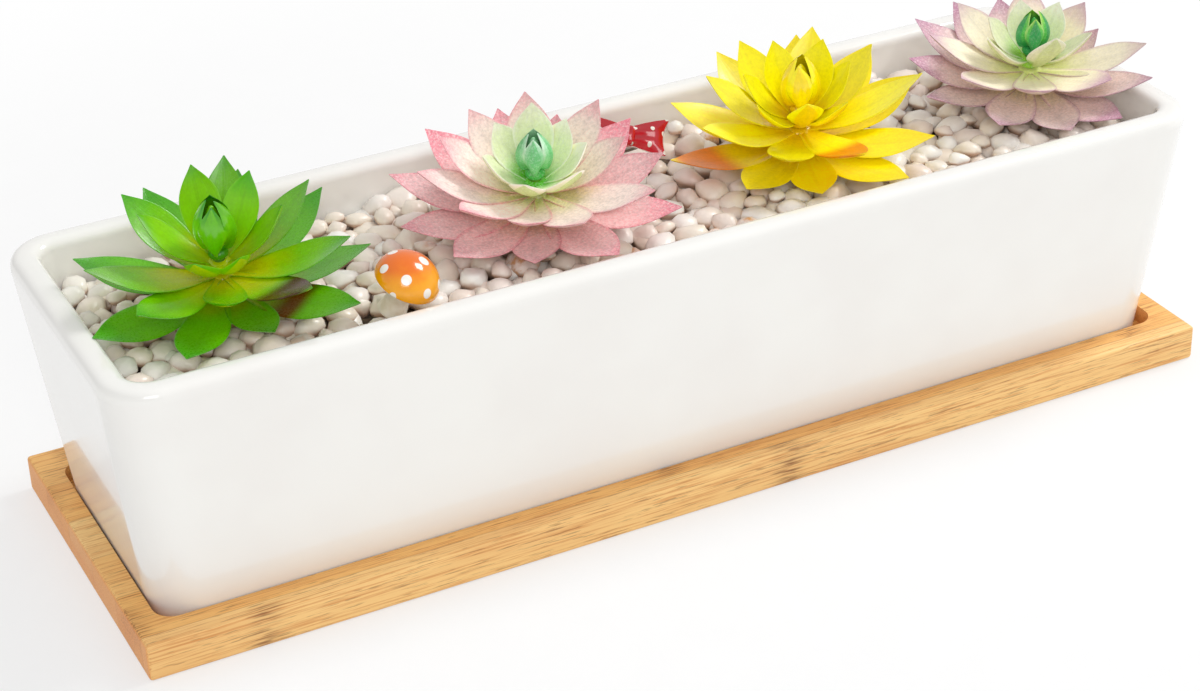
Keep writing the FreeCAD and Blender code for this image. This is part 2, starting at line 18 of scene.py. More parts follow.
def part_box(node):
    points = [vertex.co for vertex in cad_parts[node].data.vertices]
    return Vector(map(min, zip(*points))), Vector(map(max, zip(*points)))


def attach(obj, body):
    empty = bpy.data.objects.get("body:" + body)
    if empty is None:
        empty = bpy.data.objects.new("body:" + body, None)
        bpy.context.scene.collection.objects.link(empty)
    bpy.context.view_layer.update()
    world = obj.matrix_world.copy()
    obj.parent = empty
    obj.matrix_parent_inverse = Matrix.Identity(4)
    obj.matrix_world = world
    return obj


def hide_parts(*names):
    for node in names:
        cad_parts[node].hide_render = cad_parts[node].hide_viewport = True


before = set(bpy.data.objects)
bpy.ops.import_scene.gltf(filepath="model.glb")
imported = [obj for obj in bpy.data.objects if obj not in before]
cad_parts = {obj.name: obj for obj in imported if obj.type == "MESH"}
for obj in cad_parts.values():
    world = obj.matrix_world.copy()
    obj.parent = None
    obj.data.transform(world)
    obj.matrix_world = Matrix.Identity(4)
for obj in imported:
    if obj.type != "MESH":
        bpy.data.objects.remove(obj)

LOG = logging.getLogger("planter")
MM = 0.001
UP = Vector((0.0, 0.0, 1.0))
NEAR = 0.02 * MM
STEM_RADIUS = 1.6 * MM
MOUTH_HALF = 38.4 * MM

Colour = Tuple[float, float, float]
LeafPlace = Tuple[float, float, float]
Number = Union[int, float]


class Plant(Enum):
    """The four succulents, from the left end of the trough."""

    GREEN = "green"
    ROSE = "rose"
    YELLOW = "yellow"
    LILAC = "lilac"


class Tier(Enum):
    """The moulded tiers of one succulent, from the gravel up."""

    LOWER = "lower_leaves"
    MIDDLE = "middle_leaves"
    INNER = "inner_leaves"
    BUD = "bud"


def tint(code: str) -> Colour:
    """Turn a colour as it looks on a screen into the values that a shader takes.

    Args:
        code: Six hexadecimal digits, red first.

    Returns:
        Red, green and blue as linear values from 0 to 1.
    """
    parts = [int(code[start:start + 2], 16) / 255 for start in (0, 2, 4)]
    return tuple(part / 12.92 if part <= 0.04045 else ((part + 0.055) / 1.055) ** 2.4
                 for part in parts)


def bearing(turn: float) -> Vector:
    """Unit vector in the plane of the table, at this many degrees from +X."""
    return Vector((math.cos(math.radians(turn)), math.sin(math.radians(turn)), 0.0))


def stance(place: Vector, turn: float, lean: float, axis: str = "Y") -> Matrix:
    """Frame at a place, turned about Z and then leaned about its own X or Y, in degrees."""
    return (Matrix.Translation(place) @ Matrix.Rotation(math.radians(turn), 4, "Z")
            @ Matrix.Rotation(math.radians(lean), 4, axis))


def pole(plant: Plant) -> Tuple[float, float]:
    """X and Y of the upright part of a succulent's stem."""
    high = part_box(f"{plant.value}_stem")[1]
    return high[0] - STEM_RADIUS, high[1] - STEM_RADIUS


# Shading


class Wire:
    """One output of a material's graph, on which sums can be written as sums."""

    def __init__(self, graph: "Graph", socket: bpy.types.NodeSocket) -> None:
        """Hold a socket and the graph that it belongs to."""
        self.graph = graph
        self.socket = socket

    def _sum(self, operation: str, first: "Source", second: "Source" = 0.0) -> "Wire":
        """Add a Math node for one operation on two values or wires."""
        return self.graph.node("ShaderNodeMath", {"operation": operation}, {0: first, 1: second})

    def __add__(self, other: "Source") -> "Wire":
        """This value plus another."""
        return self._sum("ADD", self, other)

    def __radd__(self, other: Number) -> "Wire":
        """A number plus this value."""
        return self._sum("ADD", other, self)

    def __sub__(self, other: "Source") -> "Wire":
        """This value less another."""
        return self._sum("SUBTRACT", self, other)

    def __rsub__(self, other: Number) -> "Wire":
        """A number less this value."""
        return self._sum("SUBTRACT", other, self)

    def __mul__(self, other: "Source") -> "Wire":
        """This value times another."""
        return self._sum("MULTIPLY", self, other)

    def __rmul__(self, other: Number) -> "Wire":
        """A number times this value."""
        return self._sum("MULTIPLY", other, self)

    def __pow__(self, other: Number) -> "Wire":
        """This value to a power."""
        return self._sum("POWER", self, other)

    def __abs__(self) -> "Wire":
        """This value without its sign."""
        return self._sum("ABSOLUTE", self)

    def floor(self) -> "Wire":
        """This value without its fraction."""
        return self._sum("FLOOR", self)

    def fraction(self) -> "Wire":
        """The fraction of this value."""
        return self._sum("FRACT", self)

    def ramp(self, low: float, high: float) -> "Wire":
        """Rise smoothly from 0 to 1 as this value goes from low to high."""
        settings = {"interpolation_type": "SMOOTHSTEP"}
        return self.graph.node("ShaderNodeMapRange", settings, {0: self, 1: low, 2: high})


Source = Union[Wire, Number, Sequence[float]]


class Graph:
    """The node tree of one material while it is drawn."""

    def __init__(self, name: str) -> None:
        """Start a material that holds only its output and a Principled shader.

        Args:
            name: The material's name.
        """
        self.material = bpy.data.materials.new(name)
        self.material.use_nodes = True
        self.tree = self.material.node_tree
        self.tree.nodes.clear()
        self.output = self.tree.nodes.new("ShaderNodeOutputMaterial")
        self.shader = self.tree.nodes.new("ShaderNodeBsdfPrincipled")
        self.tree.links.new(self.shader.outputs[0], self.output.inputs[0])

    def feed(self, socket: bpy.types.NodeSocket, value: Source) -> None:
        """Link a wire to a socket, or set the socket to a number or a colour.

        Args:
            socket: The input that is fed.
            value: What it gets.
        """
        if isinstance(value, Wire):
            self.tree.links.new(value.socket, socket)
        elif isinstance(value, (int, float)) or len(value) == len(socket.default_value):
            socket.default_value = value
        else:
            socket.default_value = (*value, 1.0)

    def node(self, kind: str, settings: Optional[dict] = None,
             inputs: Optional[Dict[Union[int, str], Source]] = None,
             output: Union[int, str] = 0) -> Wire:
        """Add any node.

        Args:
            kind: The node's type.
            settings: Its own settings, set before its sockets.
            inputs: Values or wires by socket name or number.
            output: Name or number of the output that is wanted.

        Returns:
            A wire from that output.
        """
        made = self.tree.nodes.new(kind)
        for key, value in (settings or {}).items():
            setattr(made, key, value)
        for key, value in (inputs or {}).items():
            self.feed(made.inputs[key], value)
        return Wire(self, made.outputs[output])

    def mix(self, share: Source, first: Union[Source, str], second: Union[Source, str]) -> Wire:
        """Blend two colours, wires or codes: the first at 0, the second at 1."""
        ends = [tint(end) if isinstance(end, str) else end for end in (first, second)]
        return self.node("ShaderNodeMix", {"data_type": "RGBA"},
                         {0: share, 6: ends[0], 7: ends[1]}, 2)

    def place(self, scale: Sequence[float] = (1, 1, 1),
              move: Sequence[float] = (0, 0, 0)) -> Wire:
        """Object coordinates in metres, scaled and moved."""
        where = self.node("ShaderNodeTexCoord", output="Object")
        return self.node("ShaderNodeMapping", None,
                         {"Vector": where, "Location": move, "Scale": scale})

    def axes(self, where: Wire) -> Tuple[Wire, Wire, Wire]:
        """The three parts of a vector."""
        split = self.node("ShaderNodeSeparateXYZ", None, {0: where})
        return tuple(Wire(self, socket) for socket in split.socket.node.outputs)

    def facing(self) -> Tuple[Wire, Wire, Wire]:
        """The three parts of the direction that the surface looks in."""
        return self.axes(self.node("ShaderNodeNewGeometry", output="Normal"))

    def noise(self, where: Wire, scale: float, detail: float = 3.0,
              rough: float = 0.55) -> Wire:
        """Smooth noise from 0 to 1."""
        return self.node("ShaderNodeTexNoise", None, {"Vector": where, "Scale": scale,
                                                      "Detail": detail, "Roughness": rough})

    def grain(self, size: float, detail: float = 3.0, rough: float = 0.55) -> Wire:
        """Smooth noise whose lumps are this many metres apart."""
        return self.noise(self.place(), 1 / size, detail, rough)

    def shine(self, colour: Wire, value: Wire, saturation: float = 1.0) -> Wire:
        """A colour made lighter or darker."""
        return self.node("ShaderNodeHueSaturation", None,
                         {"Value": value, "Saturation": saturation, "Color": colour})

    def attribute(self, name: str) -> Wire:
        """A number that the mesh carries at each point."""
        return self.node("ShaderNodeAttribute", {"attribute_name": name}, output="Fac")

    def bump(self, height: Wire, depth: float, strength: float = 1.0) -> None:
        """Raise the surface by a height from 0 to 1, this many metres deep."""
        normal = self.node("ShaderNodeBump", None,
                           {"Strength": strength, "Distance": depth, "Height": height})
        self.feed(self.shader.inputs["Normal"], normal)

    def dress(self, **values: Source) -> bpy.types.Material:
        """Set the shader's sockets.

        Args:
            values: Wires, numbers or colours by socket, with underscores for the spaces.

        Returns:
            The finished material.
        """
        for key, value in values.items():
            self.feed(self.shader.inputs[key.replace("_", " ")], value)
        return self.material


@dataclass(frozen=True)
class Glaze:
    """Glossy warm white glaze with a slow wave in its surface."""

    white: str = "f6f5f1"
    shade: str = "f3f1ed"
    wave_size: float = 26 * MM
    wave_depth: float = 0.028 * MM
    pore_size: float = 1.6 * MM
    pore_depth: float = 0.012 * MM

    def material(self) -> bpy.types.Material:
        """Draw the glaze.

        Returns:
            The finished material.
        """
        graph = Graph("white_glaze")
        wave = graph.grain(self.wave_size, 2.0)
        pores = graph.grain(self.pore_size, 1.0)
        colour = graph.mix(wave.ramp(0.3, 0.8), self.white, self.shade)
        share = self.pore_depth / self.wave_depth
        graph.bump(wave + pores * share, self.wave_depth)
        return graph.dress(Base_Color=colour, Roughness=0.14 + 0.03 * wave, IOR=1.5,
                           Coat_Weight=0.6, Coat_Roughness=0.04)


@dataclass(frozen=True)
class Bamboo:
    """Laminated bamboo: strips along X, fine fibre dashes, a few knuckles, end grain."""

    pale: str = "fbd28c"
    honey: str = "f8c070"
    brown: str = "d08038"
    dark: str = "80481e"
    end: str = "ec9650"
    strip_width: float = 19 * MM
    strip_height: float = 5.2 * MM
    strip_start: float = 0.35
    fibre_length: float = 22 * MM
    fibre_width: float = 0.42 * MM
    knuckle_spacing: float = 145 * MM
    knuckle_width: float = 7 * MM
    knuckle_start: float = 0.22
    knuckle_drift: float = 0.37

    def strips(self, graph: Graph) -> Tuple[Wire, Wire]:
        """Find the strips that the board is glued up from.

        Args:
            graph: The material's graph.

        Returns:
            A tone for each strip, and where two strips meet.
        """
        _, depth, height = graph.axes(graph.place())
        across = depth * (1 / self.strip_width) + self.strip_start
        row = (height * (1 / self.strip_height)).floor()
        tone = graph.node("ShaderNodeTexWhiteNoise", {"noise_dimensions": "1D"},
                          {"W": across.floor() * 3.7 + row * 11.3})
        return tone, abs(across.fraction() - 0.5).ramp(0.488, 0.5)

    def material(self) -> bpy.types.Material:
        """Draw the bamboo.

        Returns:
            The finished material.
        """
        graph = Graph("bamboo")
        tone, seam = self.strips(graph)
        long, wide = 1 / self.fibre_length, 1 / self.fibre_width
        fibre = graph.noise(graph.place((long, wide, wide)), 1.0, 3.0, 0.62)
        dashes = graph.noise(graph.place((long * 2.6, wide * 0.8, wide * 0.8), (3, 1, 2)), 1.0)
        slow = graph.noise(graph.place((14, 90, 90)), 1.0, 2.0)
        spacing = 1 / self.knuckle_spacing
        along, _, _ = graph.axes(graph.place())
        beat = (along * spacing + self.knuckle_start + tone * self.knuckle_drift).fraction()
        knuckle = 1 - abs(beat - 0.5).ramp(0.0, self.knuckle_width * spacing)
        colour = graph.mix(tone.ramp(0.0, 1.0), self.pale, self.honey)
        colour = graph.mix(slow.ramp(0.38, 0.80) * 0.34, colour, self.brown)
        colour = graph.mix(fibre.ramp(0.46, 0.66) * 0.66, colour, self.brown)
        colour = graph.mix(dashes.ramp(0.57, 0.68) * 0.50, colour, self.dark)
        colour = graph.mix(seam * 0.35, colour, self.dark)
        scar = knuckle * (dashes.ramp(0.42, 0.60) * 0.6 + 0.10) * slow.ramp(0.35, 0.55)
        colour = graph.mix(scar, colour, self.dark)
        facing, _, _ = graph.facing()
        colour = graph.mix(abs(facing).ramp(0.5, 0.9) * 0.55, colour, self.end)
        graph.bump(fibre * 0.7 - seam * 0.6 - dashes * 0.3 - knuckle * 0.2, 0.12 * MM, 0.6)
        return graph.dress(Base_Color=colour, Roughness=0.42 + 0.16 * fibre)


@dataclass(frozen=True)
class LeafSkin:
    """Colours of one tier of leaves, from root to tip and from the middle to the edges."""

    root: str
    body: str
    tip: str
    edge: str
    under: str
    root_end: float = 0.45
    tip_start: float = 0.62
    edge_share: float = 0.7
    rough: float = 0.32
    coat: float = 0.35
    powder: float = 0.0
    powder_colour: str = "ffffff"
    patch: Optional[str] = None
    patch_from: float = 0.42
    patch_to: float = 0.88
    # Glitter flakes in the patch, with their glints painted in as pale specks.
    glitter_glint_share: float = 0.0
    glitter_glint_colour: str = "f2dcc8"
    fibre: float = 0.10
    speckle: float = 0.34

    def material(self, name: str) -> bpy.types.Material:
        """Draw the skin: blends along and across the leaf, veins, powder, patches with painted
        glints, and painted shade along the middle line.

        Args:
            name: The material's name.

        Returns:
            The finished material.
        """
        graph = Graph(name)
        along, across = graph.attribute("along"), graph.attribute("across")
        tone, under = graph.attribute("tone"), graph.attribute("under")
        cloud = graph.grain(5.5 * MM)
        grain = graph.grain(0.55 * MM, 4.0, 0.7)
        soft = along + (cloud - 0.5) * 0.28 + tone * 0.10
        colour = graph.mix(soft.ramp(0.02, self.root_end), self.root, self.body)
        colour = graph.mix(soft.ramp(self.tip_start, 1.04), colour, self.tip)
        rim = (abs(across) + (cloud - 0.5) * 0.16).ramp(0.80, 0.99) * self.edge_share
        colour = graph.mix(rim, colour, self.edge)
        colour = graph.mix(under.ramp(0.45, 0.85) * 0.85, colour, self.under)
        if self.patch:
            near = (along.ramp(self.patch_from, self.patch_from + 0.2)
                    * (1 - along.ramp(self.patch_to, self.patch_to + 0.12)))
            spot = graph.attribute("patch") * near * (cloud + 0.44).ramp(0.46, 0.66)
            colour = graph.mix(spot, colour, self.patch)
            # Partly real glitter, partly painted glints: pale specks in the patch stand for the
            # light that the flakes catch.
            colour = graph.mix(spot * grain.ramp(0.66, 0.74) * self.glitter_glint_share, colour,
                               self.glitter_glint_colour)
        if self.powder:
            dust = grain.ramp(0.42, 0.70) * self.powder
            colour = graph.mix(dust, colour, self.powder_colour)
        veins = graph.noise(graph.node("ShaderNodeCombineXYZ", None,
                                       {0: along * 2.0, 1: across * 9.0, 2: tone}), 1.0, 2.0)
        speck = graph.grain(0.9 * MM, 2.0, 0.7)
        value = 1.0 + tone * 0.10 + (cloud - 0.5) * 0.20 + (speck - 0.5) * self.speckle
        # Painted shade: the middle line of each leaf, where its hollow runs, is darkened a little.
        crease = 1 - abs(across).ramp(0.0, 0.16)
        light = graph.shine(colour, value + (veins - 0.5) * 0.16 - crease * 0.06, 1.06)
        rough = self.rough + (grain - 0.5) * (0.16 + 0.3 * self.powder)
        graph.bump(veins * 0.7 + grain * (self.fibre + self.powder), 0.16 * MM, 0.5)
        return graph.dress(Base_Color=light, Roughness=rough, Coat_Weight=self.coat,
                           Coat_Roughness=0.13)


@dataclass(frozen=True)
class Pebbles:
    """Worn river gravel: a tone for each stone, clouds, stains, fine pits and painted shade on the
    sides that face down.
    """

    white: str = "fbf8f2"
    cream: str = "f5ebdc"
    blush: str = "f0e0d6"
    stain: str = "cf8f45"
    # Colour of the painted shade on the stones' lower sides.
    shade: str = "bf9272"

    def material(self) -> bpy.types.Material:
        """Draw the gravel.

        Returns:
            The finished material.
        """
        graph = Graph("river_gravel")
        tone, warm = graph.attribute("tone"), graph.attribute("warm")
        cloud = graph.grain(4.0 * MM, 4.0, 0.6)
        pits = graph.grain(0.7 * MM, 3.0, 0.6)
        colour = graph.mix(tone.ramp(0.25, 0.85), self.white, self.cream)
        colour = graph.mix(warm.ramp(0.35, 0.9) * 0.8, colour, self.blush)
        rust = warm.ramp(0.93, 0.97) * cloud.ramp(0.42, 0.66)
        colour = graph.mix(rust, colour, self.stain)
        # Painted shade: the sides of each stone that face down or sideways are blended towards the
        # shade colour.
        _, _, facing = graph.facing()
        low = 1 - (facing + (cloud - 0.5) * 0.4).ramp(-0.3, 0.35)
        colour = graph.mix(low * 0.75, colour, self.shade)
        light = graph.shine(colour, 1.0 + (cloud - 0.5) * 0.20)
        graph.bump(cloud + pits * 0.3, 0.35 * MM, 0.6)
        return graph.dress(Base_Color=light, Roughness=0.26 + 0.2 * pits,
                           Coat_Weight=0.3, Coat_Roughness=0.2)


@dataclass(frozen=True)
class Earth:
    """Crumbly dark filling, or the painted shade of the gravel deep between the stones."""

    name: str
    dark: str
    light: str
    grain: float = 1.8 * MM

    def material(self) -> bpy.types.Material:
        """Draw the filling.

        Returns:
            The finished material.
        """
        graph = Graph(self.name)
        where = graph.place()
        crumbs = graph.noise(where, 1 / self.grain, 5.0, 0.7)
        cells = graph.node("ShaderNodeTexVoronoi", None,
                           {"Vector": where, "Scale": 0.5 / self.grain}, "Distance")
        colour = graph.mix(crumbs.ramp(0.35, 0.7), self.dark, self.light)
        graph.bump(crumbs + cells, 0.8 * MM)
        return graph.dress(Base_Color=colour, Roughness=0.85)


@dataclass(frozen=True)
class Spotted:
    """Glossy paint with round white dots, laid out on the piece's own UV map."""

    name: str
    ground: str
    deep: str
    dot: str = "fbf8f0"
    spacing: float = 4.2 * MM
    dot_share: float = 0.27
    jitter: float = 0.35
    coat: float = 0.8

    def material(self) -> bpy.types.Material:
        """Draw the paint and the dots.

        Returns:
            The finished material.
        """
        graph = Graph(self.name)
        flat = graph.node("ShaderNodeUVMap", {"uv_map": "paint"})
        spots = graph.node("ShaderNodeTexVoronoi", {"voronoi_dimensions": "2D"},
                           {"Vector": flat, "Scale": 1.0, "Randomness": self.jitter}, "Distance")
        cover = 1 - spots.ramp(self.dot_share - 0.03, self.dot_share)
        cloud = graph.grain(3.5 * MM, 2.0)
        _, _, facing = graph.facing()
        high = (facing + (cloud - 0.5) * 0.5).ramp(0.25, 0.95)
        colour = graph.mix(high, self.ground, self.deep)
        colour = graph.mix(cover, colour, self.dot)
        graph.bump(cover + cloud * 0.4, 0.10 * MM, 0.5)
        return graph.dress(Base_Color=colour, Roughness=0.14 + 0.08 * cloud,
                           Coat_Weight=self.coat, Coat_Roughness=0.05)


@dataclass(frozen=True)
class Plastic:
    """Plain moulded plastic, a little cloudy."""

    name: str
    pale: str
    deep: str
    rough: float = 0.34

    def material(self) -> bpy.types.Material:
        """Draw the plastic.

        Returns:
            The finished material.
        """
        graph = Graph(self.name)
        cloud = graph.grain(3.0 * MM)
        grain = graph.grain(0.4 * MM, 2.0)
        colour = graph.mix(cloud.ramp(0.3, 0.75), self.pale, self.deep)
        graph.bump(cloud * 0.6 + grain * 0.3, 0.12 * MM, 0.5)
        return graph.dress(Base_Color=colour, Roughness=self.rough + 0.1 * grain,
                           Coat_Weight=0.3, Coat_Roughness=0.2)


# One skin for each tier, from the gravel up: root, body, tip, edge and underside.
LEAF_SKINS: Dict[Plant, Tuple[LeafSkin, ...]] = {
    Plant.GREEN: (
        LeafSkin("ccd014", "6cbe14", "44a012", "52a816", "bcc81e", rough=0.28, coat=0.3,
                 root_end=0.55, speckle=0.46, fibre=0.28, patch="6a3414", patch_from=0.26,
                 patch_to=0.50, glitter_glint_share=0.6),
        LeafSkin("dcd810", "7cc812", "4aa814", "5ab216", "d2d41e", rough=0.26, coat=0.3,
                 root_end=0.6, patch="4a0c06", glitter_glint_share=0.8, speckle=0.46, fibre=0.28),
        LeafSkin("c4d612", "8ed414", "56b216", "80ca1c", "cad81c", rough=0.24, coat=0.3,
                 root_end=0.5, fibre=0.2),
        LeafSkin("4f9f1c", "7ccb2e", "2f8f28", "5db82c", "6fc02a", rough=0.22, coat=0.6),
    ),
    Plant.ROSE: (
        LeafSkin("f2d0a6", "f9cdcd", "e88c9b", "e27e90", "e6a49e", rough=0.66, coat=0.0,
                 powder=0.62, powder_colour="fff0ee", speckle=0.8),
        LeafSkin("dcd884", "ffebe2", "f0a4b0", "e68fa0", "f0c6b6", rough=0.64, coat=0.0, powder=0.5,
                 powder_colour="fff4f0", speckle=0.7),
        LeafSkin("66cc2a", "eef4c4", "fffbe6", "fffdf0", "cfe890", rough=0.6, coat=0.0, powder=0.3,
                 root_end=0.46),
        LeafSkin("55b85c", "8fd39b", "c2e9c8", "d9f3da", "6cc27a", rough=0.52, coat=0.0,
                 powder=0.25),
    ),
    Plant.YELLOW: (
        LeafSkin("f8d400", "fff000", "ffe808", "fff014", "f8ce00", rough=0.36, coat=0.25,
                 patch="f08a30"),
        LeafSkin("fad800", "fff600", "fff008", "fff612", "fad400", rough=0.34, coat=0.28,
                 patch="f2913c"),
        LeafSkin("fad600", "fff800", "fff60a", "fffa20", "fad800", rough=0.30, coat=0.3),
        LeafSkin("f6cf00", "fff200", "fff01a", "fff648", "fadb00", rough=0.20, coat=0.65),
    ),
    Plant.LILAC: (
        LeafSkin("f4e4b4", "eed6ce", "b9849e", "b07a96", "d8beb0", rough=0.64, coat=0.0, powder=0.5,
                 powder_colour="f8eef0", speckle=0.75),
        LeafSkin("e8ea96", "faf0d6", "d0a8ba", "c79db2", "ecdcc4", rough=0.62, coat=0.0, powder=0.3,
                 powder_colour="fbf4f2"),
        LeafSkin("9ed746", "f0f2c6", "faf4e2", "fbf8ec", "d6e398", rough=0.58, coat=0.0,
                 powder=0.26, root_end=0.46),
        LeafSkin("1f9a4c", "55c254", "a9e04e", "c9ef8c", "2d9a58", rough=0.5, coat=0.1,
                 powder=0.12),
    ),
}


# Modelling


def to_object(name: str, shape: bmesh.types.BMesh, material: bpy.types.Material,
              crease: Optional[float] = None,
              place: Optional[Matrix] = None) -> bpy.types.Object:
    """Make an object of a finished bmesh, at the origin and smoothly shaded.

    Args:
        name: The piece's name.
        shape: The mesh, which is freed.
        material: Its finish.
        crease: Angle in degrees past which an edge stays sharp, or none.
        place: Frame that the mesh is moved to, or none if it is in its place.

    Returns:
        The object, linked to the scene.
    """
    if place is not None:
        bmesh.ops.transform(shape, matrix=place, verts=shape.verts)
    mesh = bpy.data.meshes.new(name)
    shape.to_mesh(mesh)
    shape.free()
    mesh.shade_smooth()
    if crease is not None:
        mesh.set_sharp_from_angle(angle=math.radians(crease))
    mesh.materials.append(material)
    piece = bpy.data.objects.new(name, mesh)
    bpy.context.scene.collection.objects.link(piece)
    return piece


def stand_in(piece: bpy.types.Object, body: str, node: str) -> bpy.types.Object:
    """Put a piece on its body and in the place of its solid.

    Args:
        piece: What the scene shows.
        body: The body that it moves with.
        node: The solid that it replaces.

    Returns:
        The piece.
    """
    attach(piece, body)
    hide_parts(node)
    return piece


def subdivide(piece: bpy.types.Object, levels: int) -> None:
    """Round a piece off with a subdivision surface.

    Args:
        piece: The piece.
        levels: How many times its faces are split.
    """
    smooth = piece.modifiers.new("rounding", "SUBSURF")
    smooth.levels = levels
    smooth.render_levels = levels


def weigh_normals(piece: bpy.types.Object) -> None:
    """Let the large faces set the shading, so that they look flat beside rounded edges."""
    weighted = piece.modifiers.new("flat_faces", "WEIGHTED_NORMAL")
    weighted.keep_sharp = True


def block(length: float, width: float, low: float, high: float) -> bmesh.types.BMesh:
    """Start a mesh with a block that stands over the origin.

    Args:
        length: Its size along X.
        width: Its size along Y.
        low: Height of its underside.
        high: Height of its top.

    Returns:
        The mesh.
    """
    shape = bmesh.new()
    bmesh.ops.create_cube(shape, size=1.0)
    bmesh.ops.scale(shape, verts=shape.verts, vec=(length, width, high - low))
    bmesh.ops.translate(shape, verts=shape.verts, vec=(0, 0, (low + high) / 2))
    return shape


def edges_at(shape: bmesh.types.BMesh, low: float, high: float) -> List[bmesh.types.BMEdge]:
    """Find the edges that run from one height to another.

    Args:
        shape: The mesh.
        low: Height of their lower end.
        high: Height of their upper end.

    Returns:
        The edges.
    """
    found = []
    for edge in shape.edges:
        heights = sorted(vert.co.z for vert in edge.verts)
        if abs(heights[0] - low) < NEAR and abs(heights[1] - high) < NEAR:
            found.append(edge)
    return found


def face_at(shape: bmesh.types.BMesh, height: float, facing: int) -> bmesh.types.BMFace:
    """Find the largest level face at a height.

    Args:
        shape: The mesh.
        height: The face's height.
        facing: 1 if it looks up, -1 if it looks down.

    Returns:
        The face.
    """
    shape.normal_update()
    level = [face for face in shape.faces if face.normal.z * facing > 0.99
             and abs(face.calc_center_median().z - height) < NEAR]
    return max(level, key=lambda face: face.calc_area())


def ease(shape: bmesh.types.BMesh, edges: Sequence[bmesh.types.BMEdge], size: float,
         steps: int) -> None:
    """Round these edges off."""
    bmesh.ops.bevel(shape, geom=list(edges), offset=size, offset_type="OFFSET",
                    segments=steps, profile=0.5, affect="EDGES", clamp_overlap=False,
                    material=-1)


def grow(shape: bmesh.types.BMesh, face: bmesh.types.BMFace, move: Vector
         ) -> Tuple[List[bmesh.types.BMVert], bmesh.types.BMFace]:
    """Extrude a face and move what comes out of it.

    Args:
        shape: The mesh.
        face: The face.
        move: How far, and which way.

    Returns:
        The new vertices and the new face.
    """
    made = bmesh.ops.extrude_face_region(shape, geom=[face])["geom"]
    verts = [item for item in made if isinstance(item, bmesh.types.BMVert)]
    bmesh.ops.translate(shape, verts=verts, vec=move)
    return verts, next(item for item in made if isinstance(item, bmesh.types.BMFace))


def drop(shape: bmesh.types.BMesh, face: bmesh.types.BMFace) -> None:
    """Delete a face that an extrusion left inside a piece."""
    if face.is_valid:
        bmesh.ops.delete(shape, geom=[face], context="FACES_ONLY")


def sink(shape: bmesh.types.BMesh, face: bmesh.types.BMFace, by: float,
         scale: Tuple[float, float] = (1.0, 1.0)) -> None:
    """Extrude a level face along Z, and drop what is left of it.

    Args:
        shape: The mesh.
        face: The face.
        by: How far it goes up.
        scale: Its scale along X and Y at the end, about the origin.
    """
    verts, _ = grow(shape, face, UP * by)
    bmesh.ops.scale(shape, verts=verts, vec=(scale[0], scale[1], 1.0))
    drop(shape, face)


